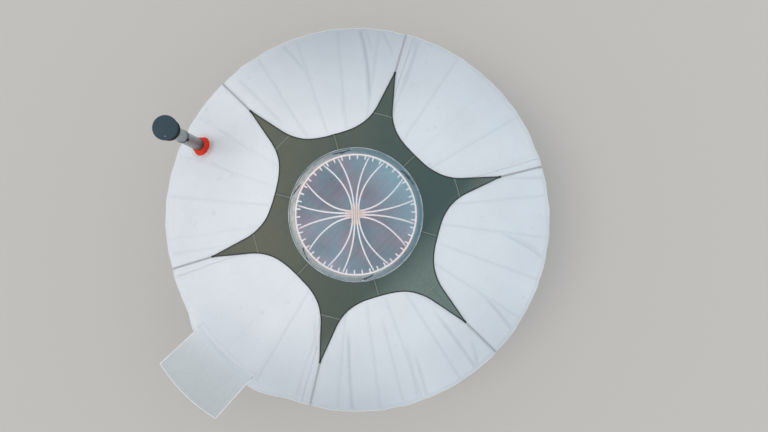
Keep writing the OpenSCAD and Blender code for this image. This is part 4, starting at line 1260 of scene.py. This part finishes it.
# %% Crown ring
def ring_ash():
    """Laminated ash, pale on its planed top edge, and painted orange for shade on its inner face and outer
    edge
    """
    material, draw, place = start_material("laminated_ash", 0.55)
    fine, tone = mottled(draw, place, 90.0, 3.0, 0.35, 0.65, "#fffcf9", "#faeee6")
    # Painted shade: the faces beside the pale top are painted orange
    for edge, inside in ((CROWN_IN + 0.001, CROWN_IN + 0.005), (0.7965, 0.7900)):
        oil_and_shade = from_middle(draw, place, inside, edge)
        tone = draw("Mix", {0: oil_and_shade, 6: tone, 7: "#dfa883"}, 2, data_type="RGBA")
    return finish(material, draw, tone, fine)


dress(["crown_ring"], ring_ash())

# %% [markdown]
# ## Wall cover
# The wall's canvas hangs in four lengths from the ends of the rafters to just above the ground. Two belts
# gird it. Between them the cloth stands in soft upright folds, and its foot flares a little.

# %% Wall cloths
WALL_IN = 2.832
WALL_FOOT = 0.040
WALL_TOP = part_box("wall_canvas_2")[1].z
BELT_LEVELS = [0.36 * WALL_TOP + 0.025, 0.70 * WALL_TOP + 0.025]
WALL_EDGES = [279.74, 365.87, 451.96, 534.13, 620.26]
WALL_T = 0.004
# The canvas is woven 1.5 m wide, so its lengths are seamed at that spacing
WALL_SEAM_STEP = 1.5 / WALL_IN


def wall_point(angle, height):
    """A point on the wall cloth's inner face"""
    girded = min(1.0, min(abs(height - level) for level in BELT_LEVELS) / 0.22)
    girded = ease(girded, 0.08, 1.0)
    top = 1 - ease(height, WALL_TOP - 0.25, WALL_TOP - 0.02)
    folds = noise.noise(Vector((angle * 22.0, height * 0.55, 1.7)))
    folds += 0.5 * noise.noise(Vector((angle * 60.0, height * 1.3, 4.2)))
    roll = (angle / WALL_SEAM_STEP) % 1.0 - 0.5
    seam = 0.0016 * math.exp(-(roll * WALL_SEAM_STEP * WALL_IN / 0.008) ** 4)
    bulge = 0.006 + 0.012 * (folds + 0.6)
    foot = 0.014 * (1 - ease(height, 0.0, 0.22)) * (0.6 + 0.5 * folds)
    radius = WALL_IN + 0.0065 + girded * top * bulge + foot + seam
    return Vector((radius * math.cos(angle), radius * math.sin(angle), height))


def wall_cloth(index):
    """One length of the wall cover"""
    first, last = (math.radians(turn) for turn in WALL_EDGES[index:index + 2])
    count = round((last - first) / math.radians(0.55))
    columns = {round(turn, 5) for turn in spread(first, last, count)}
    for seam in range(24):
        for beside in (-0.0042, -0.0032, -0.0022, 0.0022, 0.0032, 0.0042):
            turn = (seam + 0.5) * WALL_SEAM_STEP + beside
            if first + 0.002 < turn < last - 0.002:
                columns.add(round(turn, 5))
    mesh = sheet_mesh(sorted(columns), spread(WALL_FOOT, WALL_TOP, 44), wall_point)
    mark_creases(mesh, lambda point: 0.5 * (1 - ease(point.z, 0.04, 0.35)))
    bmesh.ops.reverse_faces(mesh, faces=mesh.faces)
    stands_for = [f"wall_canvas_{index + 1}"]
    made = keep_piece(f"wall_cloth_{index + 1}", mesh, wall_canvas, stands_for)
    thicken(made, WALL_T)


for index in range(4):
    wall_cloth(index)

# %% [markdown]
# ## Belts and wall hem
# Two webbing belts gird the wall and end at the door's frame, each end held by a screwed plate. A tape is
# sewn round the foot of the canvas. Both are upright flat sections drawn round the wall on its own line.

# %% Belts and wall hem
BELT_W = 0.050
BELT_T = 0.003
girdle_turns = [math.radians(turn) for turn in spread(WALL_EDGES[0], WALL_EDGES[-1], 400)]
girdle_ups = [outward(turn) for turn in girdle_turns]


def round_wall(mesh, level, width, thick, lift):
    """Draws an upright strip round the wall on the outside of its cloth"""
    route = []
    for turn, out in zip(girdle_turns, girdle_ups):
        route.append(wall_point(turn, level) + out * (WALL_T + lift))
    sweep(mesh, route, flat_section(width, thick), up=girdle_ups)


belts = bmesh.new()
belt_plates = bmesh.new()
for level in BELT_LEVELS:
    round_wall(belts, level, BELT_W, BELT_T, 0.0008)
    for index, aside in ((0, 0.03), (-1, -0.03)):
        end = wall_point(girdle_turns[index] + aside / WALL_IN, level)
        end += girdle_ups[index] * (WALL_T + BELT_T + 0.003)
        join_into(belt_plates, eased_block((0.004, 0.042, 0.058), end, girdle_turns[index], 0.0012))
        for rise in (-0.018, 0.018):
            screw_at = end + girdle_ups[index] * 0.003 + Vector((0, 0, rise))
            join_into(belt_plates, eased_block((0.003, 0.008, 0.008), screw_at, girdle_turns[index], 0.001))
keep_piece("girding_belts", belts, belt_webbing, ["wall_belts"])
keep_piece("belt_plates", belt_plates, galvanised)
foot_tape = bmesh.new()
round_wall(foot_tape, WALL_FOOT + 0.016, 0.030, 0.002, 0.0006)
keep_piece("wall_foot_tape", foot_tape, hem_sleeve)

# %% [markdown]
# ## Awning
# Over the door the roof's cloth runs on as an awning. It springs from the shoulder, arches up towards its
# front rail and is hemmed with a rolled edge. It is one curved sheet, with a few soft creases.

# %% Awning canopy
AWNING_FRONT = 3.680
AWNING_FRONT_HALF = 0.585
AWNING_DROP = 0.060
AWNING_ARCH = 0.075
AWNING_T = 0.003
AWNING_SPAN = AWNING_FRONT - SHOULDER
AWNING_FILLET = 0.026
AWNING_TUCK = 0.011
awning_z = shoulder_z + ROOF_UP + 0.0006
# Creases: side and share of the way out at each end, and depth in millimetres
AWNING_CREASES = [
    ((-0.12, 0.25), (0.05, 1.0), 5), ((0.62, 0.05), (0.42, 0.62), 6), ((0.1, 0.45), (-0.75, 0.95), 3),
    ((-0.60, 0.02), (-0.38, 0.45), 4), ((0.80, 0.35), (0.66, 0.98), 7), ((0.94, 0.42), (0.86, 0.98), 5),
    ((0.30, 0.02), (0.22, 0.35), 4), ((-0.86, 0.15), (-0.72, 0.55), 4),
]


def eave_y(across):
    """Where the shoulder runs in front of the door, across metres to the right of its middle"""
    reach = SHOULDER * bay_flatness(math.atan2(-SHOULDER, across) % math.tau)
    return -math.sqrt(reach * reach - across * across)


def roof_level(x, y):
    """The height of the roof cloth's upper side over a place"""
    angle = math.atan2(y, x) % math.tau
    reach = min(math.hypot(x, y) / bay_flatness(angle), SHOULDER)
    further = math.hypot(x, y) / bay_flatness(angle) - reach
    return roof_point(reach, angle, ROOF_T + 0.001).z - further * SLOPE


def awning_point(side, out):
    """A point of the awning: side from -1 to 1, out from 0 at the roof's shoulder to 1 at its front edge"""
    far = max(out, 0.0)
    half = AWNING_HALF + (AWNING_FRONT_HALF - AWNING_HALF) * far
    half += 0.012 * math.exp(-max(0.0, far * AWNING_SPAN - 0.075) / 0.03) * ease(far * AWNING_SPAN, 0.0, 0.06)
    across = half * side
    start = eave_y(across)
    bow = 0.035 * (1 - side * side) * far
    y = start + (-AWNING_FRONT + 0.012 - bow - start) * out
    z = awning_z - AWNING_DROP * out + AWNING_ARCH * far ** 0.8 * (1 - side * side)
    on_roof = roof_level(across, y)
    z = (z + on_roof + math.hypot(z - on_roof, AWNING_FILLET)) / 2
    z -= AWNING_TUCK * (1 - ease(out * AWNING_SPAN, -0.095, -0.035))
    lift = 0.003 * noise.noise(Vector((across * 4.0, y * 3.0, 2.0))) * ease(far, 0.05, 0.3)
    for (a, b), (c, d), depth in AWNING_CREASES:
        share = min(1.0, max(0.0, (far - b) / (d - b)))
        gap = (side - (a + (c - a) * share)) * half
        inside = ease(far, b - 0.05, b + 0.15) * (1 - ease(far, d - 0.05, d + 0.12))
        roll = 0.7 * bump_at(gap - 0.035, 0.02)
        lift += inside * depth / 1000 * (roll - bump_at(gap, 0.017))
    return Vector((across, y, z + lift))


awning_rows = spread(-0.120, 0.112, 29) + spread(0.14, 1.0, 43)
awning_mesh = sheet_mesh(spread(-1, 1, 96), awning_rows, awning_point)
mark_creases(awning_mesh, lambda point: 0.0)
awning = keep_piece("awning_sheet", awning_mesh, awning_canvas, ["awning_canopy"])
thicken(awning, AWNING_T, lies_flat=True)
hem_route = [awning_point(-1, k / 30) for k in range(2, 31)]
hem_route += [awning_point(k / 24 - 1, 1) for k in range(1, 49)]
hem_route += [awning_point(1, k / 30) for k in range(29, 1, -1)]
hem = sweep(bmesh.new(), hem_route, round_section(0.0065))
awning_hem = keep_piece("awning_hem", hem, hem_sleeve)

# %% [markdown]
# ## Flue
# The flue leaves the roof through a red silicone boot. It is brushed stainless steel pipe in two lengths,
# joined by a locking band, with a rain cap. All of these are turned shapes.

# %% Flue finishes
def brushed_steel():
    """Brushed stainless steel, painted a dark violet low down for the shade and the boot's reflection there
    """
    material, draw, place = start_material("brushed_stainless_steel", 0.32, Metallic=1.0)
    upright = draw("Mapping", {"Vector": place, "Scale": (1.0, 1.0, 0.04)})
    lines, tone = mottled(draw, upright, 260.0, 3.0, 0.3, 0.7, "#aeb3b2", "#898f8f")
    height = draw("SeparateXYZ", {0: place}, "Z")
    # Painted shade and reflection: dark violet low down, near the boot
    low_painted_shade = draw("MapRange", {"Value": height, "From Min": 2.66, "From Max": 2.34, "To Max": 0.95})
    tone = draw("Mix", {0: low_painted_shade, 6: tone, 7: "#362f3a"}, 2, data_type="RGBA")
    gloss = {"Value": lines, "From Min": 0.3, "From Max": 0.7, "To Min": 0.26, "To Max": 0.42}
    return finish(material, draw, tone, lines, 0.0003, Roughness=draw("MapRange", gloss))


def red_silicone():
    """Moulded red silicone rubber, darker where soot has settled"""
    material, draw, place = start_material("red_silicone", 0.6, Specular_IOR_Level=0.3)
    tone = mottled(draw, place, 18.0, 4.0, 0.45, 0.75, "#de3408", "#a81e08", 0.5)[1]
    fine = draw("TexNoise", {"Vector": place, "Scale": 300.0, "Detail": 2.0})
    return finish(material, draw, tone, fine, 0.0003, 0.4)


def enamel(name, colour, worn, roughness, coat):
    """Stoved enamel on sheet steel, thinner and greyer where rain has run"""
    material, draw, place = start_material(name, roughness, Coat_Weight=coat)
    runs, tone = mottled(draw, place, 26.0, 4.0, 0.45, 0.75, colour, worn)
    gloss = {"Value": runs, "From Min": 0.3, "From Max": 0.8, "To Min": roughness - 0.07,
             "To Max": roughness + 0.15}
    return finish(material, draw, tone, runs, 0.0004, 0.3, Roughness=draw("MapRange", gloss))


steel = brushed_steel()
silicone = red_silicone()
# The cap is matt blue-grey, weathered by rain
cap_enamel = enamel("blue_grey_enamel", "#273b45", "#304650", 0.75, 0.0)
# Hinges, handle, locking band and latch are powder-coated, a dull black with a soft gloss
black_iron = enamel("black_powder_coat", "#121315", "#222426", 0.45, 0.1)
# The drum of the cap is painted nearly black for the shade under the cap, and is quite matt
drum_steel_painted_shade = enamel("drum_steel_painted_shade", "#0a0b0c", "#141517", 0.85, 0.0)
FLUE_JOINT = 2.960
FLUE_TOP = 3.450
FLUE_FOOT = 1.800
FLUE_BORE = 0.0625
# The bead rolled into the pipe, as distances out and up from its wall
PIPE_BEAD = [(0.0, -0.006), (0.0016, -0.003), (0.0022, 0.0), (0.0016, 0.003), (0.0, 0.006)]
centre = tuple(FLUE_CENTRE)


def pipe(name, bottom, top, stands_for):
    """One length of twin-wall pipe with a rolled bead at each end"""
    outline = [(FLUE_BORE, bottom), (FLUE_R - 0.001, bottom), (FLUE_R, bottom + 0.002)]
    for level in (bottom + 0.03, top - 0.03):
        outline += [(FLUE_R + out, level + up) for out, up in PIPE_BEAD]
    outline += [(FLUE_R, top - 0.002), (FLUE_R - 0.001, top), (FLUE_BORE, top), (FLUE_BORE, bottom)]
    keep_piece(name, turned(outline, centre=centre, steps=72), steel, [stands_for])


pipe("flue_pipe_lower", FLUE_FOOT, FLUE_JOINT, "flue_lower")
pipe("flue_pipe_upper", FLUE_JOINT, FLUE_TOP, "flue_upper")

# %% [markdown]
# ## Boot of the flue
# The boot is a stack of moulded rings on a flange that lies along the roof. The flange is turned flat and
# then leant to the slope. The rings are turned upright and cut off where they meet it.

# %% Boot
flue_cloth = roof_point(FLUE_REACH / bay_flatness(FLUE_TURN), FLUE_TURN, ROOF_T + 0.0006)
BOOT_R = 0.145
boot_lean = Matrix.Rotation(FLUE_TURN, 4, "Z") @ Matrix.Rotation(PITCH, 4, "Y")
flange = [(FLUE_R + 0.0008, 0.005), (FLUE_R + 0.0008, 0.0)]
flange += [(BOOT_R - inside, up) for inside, up in (
    (0.002, 0.0), (0.0, 0.0025), (0.002, 0.0055), (0.008, 0.006), (0.012, 0.0045), (0.022, 0.0045),
    (0.026, 0.006))]
flange += [(0.118, 0.006), (FLUE_R + 0.004, 0.006)]
boot = turned(flange, steps=72)
bmesh.ops.transform(boot, matrix=Matrix.Translation(flue_cloth) @ boot_lean, verts=boot.verts)
BOOT_TOP = 0.205
BOOT_FOOT = -0.055
STEPS = [(0.126, 0.012, 0.060), (0.116, 0.060, 0.108), (0.105, 0.108, 0.156), (0.094, 0.156, BOOT_TOP)]
rings = [(FLUE_R + 0.0008, BOOT_FOOT), (0.124, BOOT_FOOT)]
for radius, bottom, top in STEPS:
    rings += [(radius, bottom), (radius, top - 0.004), (radius - 0.0012, top - 0.0012), (radius - 0.004, top)]
rings += [(FLUE_R + 0.0035, BOOT_TOP), (FLUE_R + 0.0008, BOOT_TOP - 0.003), (FLUE_R + 0.0008, BOOT_FOOT)]
collar_rings = turned(rings, (0.0, flue_cloth.z), centre, 72)
slant = boot_lean.to_3x3() @ Vector((0, 0, 1))
bmesh.ops.bisect_plane(collar_rings,
                       geom=collar_rings.verts[:] + collar_rings.edges[:] + collar_rings.faces[:],
                       plane_co=flue_cloth + slant * 0.004, plane_no=slant, clear_inner=True)
join_into(boot, collar_rings)
keep_piece("silicone_boot", boot, silicone, ["flue_boot"])

# %% [markdown]
# ## Patch round the boot
# A round patch of the same canvas doubles the roof where the pipe comes through. It is a ring of cloth laid
# on the roof, so it takes the roof's own height at each of its points.

# %% Patch round the boot
PATCH_OUT = 0.206
PATCH_IN = 0.112


def patch_place(turn, radius):
    """A point of the patch, on the upper side of the roof cloth"""
    x = FLUE_CENTRE.x + radius * math.cos(turn)
    y = FLUE_CENTRE.y + radius * math.sin(turn)
    return Vector((x, y, roof_level(x, y) - 0.0004))


patch_mesh = sheet_mesh(spread(0, math.tau, 96), spread(PATCH_IN, PATCH_OUT, 8), patch_place)
mark_creases(patch_mesh, lambda point: 0.0)
patch = keep_piece("boot_patch", patch_mesh, roof_canvas)
thicken(patch, 0.0016, lies_flat=True)

# %% [markdown]
# ## Locking band of the flue
# A sprung band with a bead at each edge grips the two lengths of pipe, and one latch pulls it tight. The band
# is turned, and the latch is a block with eased edges.

# %% Locking band
BAND = [(0.0003, -0.013), (0.0024, -0.013), (0.0042, -0.010), (0.0024, -0.006), (0.0024, 0.006),
        (0.0042, 0.010), (0.0024, 0.013), (0.0003, 0.013), (0.0003, -0.013)]
band = turned(BAND, (FLUE_R, FLUE_JOINT), centre, 72)
keep_piece("flue_lock_band", band, black_iron, ["flue_band"])
latch_turn = FLUE_TURN + math.pi - 0.12
latch_place = Vector((FLUE_CENTRE.x, FLUE_CENTRE.y, FLUE_JOINT))
latch_place += outward(latch_turn) * (FLUE_R + 0.012)
latch = eased_block((0.024, 0.034, 0.026), latch_place, latch_turn, 0.003)
keep_piece("band_latch", latch, black_iron)

# %% [markdown]
# ## Rain cap
# The cap is a disc of sheet with a rolled rim and a low cone, over a drum that keeps the wind off the mouth
# of the pipe. The drum is turned on its own because it is painted nearly black, for the shade under the cap.

# %% Rain cap
DRUM_R = 0.137
DRUM_Z = 3.390
DISC_Z = 3.520
CAP_R = 0.156
drum_outline = [(-0.003, DISC_Z), (-0.003, DRUM_Z), (-0.0008, DRUM_Z - 0.0006), (0.0012, DRUM_Z + 0.0015),
                (0.0012, DRUM_Z + 0.006), (0.0, DRUM_Z + 0.008), (0.0, DISC_Z - 0.012),
                (0.0012, DISC_Z - 0.010), (0.0, DISC_Z - 0.008), (0.0, DISC_Z), (-0.003, DISC_Z)]
drum = turned(drum_outline, (DRUM_R, 0.0), centre)
keep_piece("rain_cap_drum", drum, drum_steel_painted_shade)
CAP = [(DRUM_R - 0.003, 0.0), (CAP_R - 0.003, 0.0), (CAP_R, 0.003), (CAP_R, 0.011), (CAP_R - 0.003, 0.014),
       (CAP_R - 0.012, 0.0165), (0.012, 0.0395), (0.0, 0.040)]
keep_piece("rain_cap", turned(CAP, (0.0, DISC_Z), centre), cap_enamel, ["flue_cap"])
BOLT_TURN = math.radians(-41.7)
BOLT_REACH = 0.108
bolt_at = FLUE_CENTRE + outward(BOLT_TURN).to_2d() * BOLT_REACH
BOLT = [(0.007, 0.0), (0.007, 0.003), (0.005, 0.0045), (0.0, 0.005)]
bolt = turned(BOLT, (0.0, DISC_Z + 0.0215), tuple(bolt_at), 16)
keep_piece("cap_bolt", bolt, galvanised)
dress(["flue_support"], steel)
dress(["door_hinges", "door_handle"], black_iron, 0.0012)

# %% [markdown]
# ## Floor of the studio
# A plain pale floor carries the tent and its shadow.

# %% Studio floor
floor_mesh = bmesh.new()
bmesh.ops.create_circle(floor_mesh, cap_ends=True, segments=128, radius=400.0)
floor_data = bpy.data.meshes.new("studio_floor")
floor_mesh.to_mesh(floor_data)
floor_mesh.free()
floor = bpy.data.objects.new("studio_floor", floor_data)
bpy.context.scene.collection.objects.link(floor)
floor_material, draw, place = start_material("matt_studio_floor", 0.9)
floor_data.materials.append(finish(floor_material, draw, "#bdbab4"))
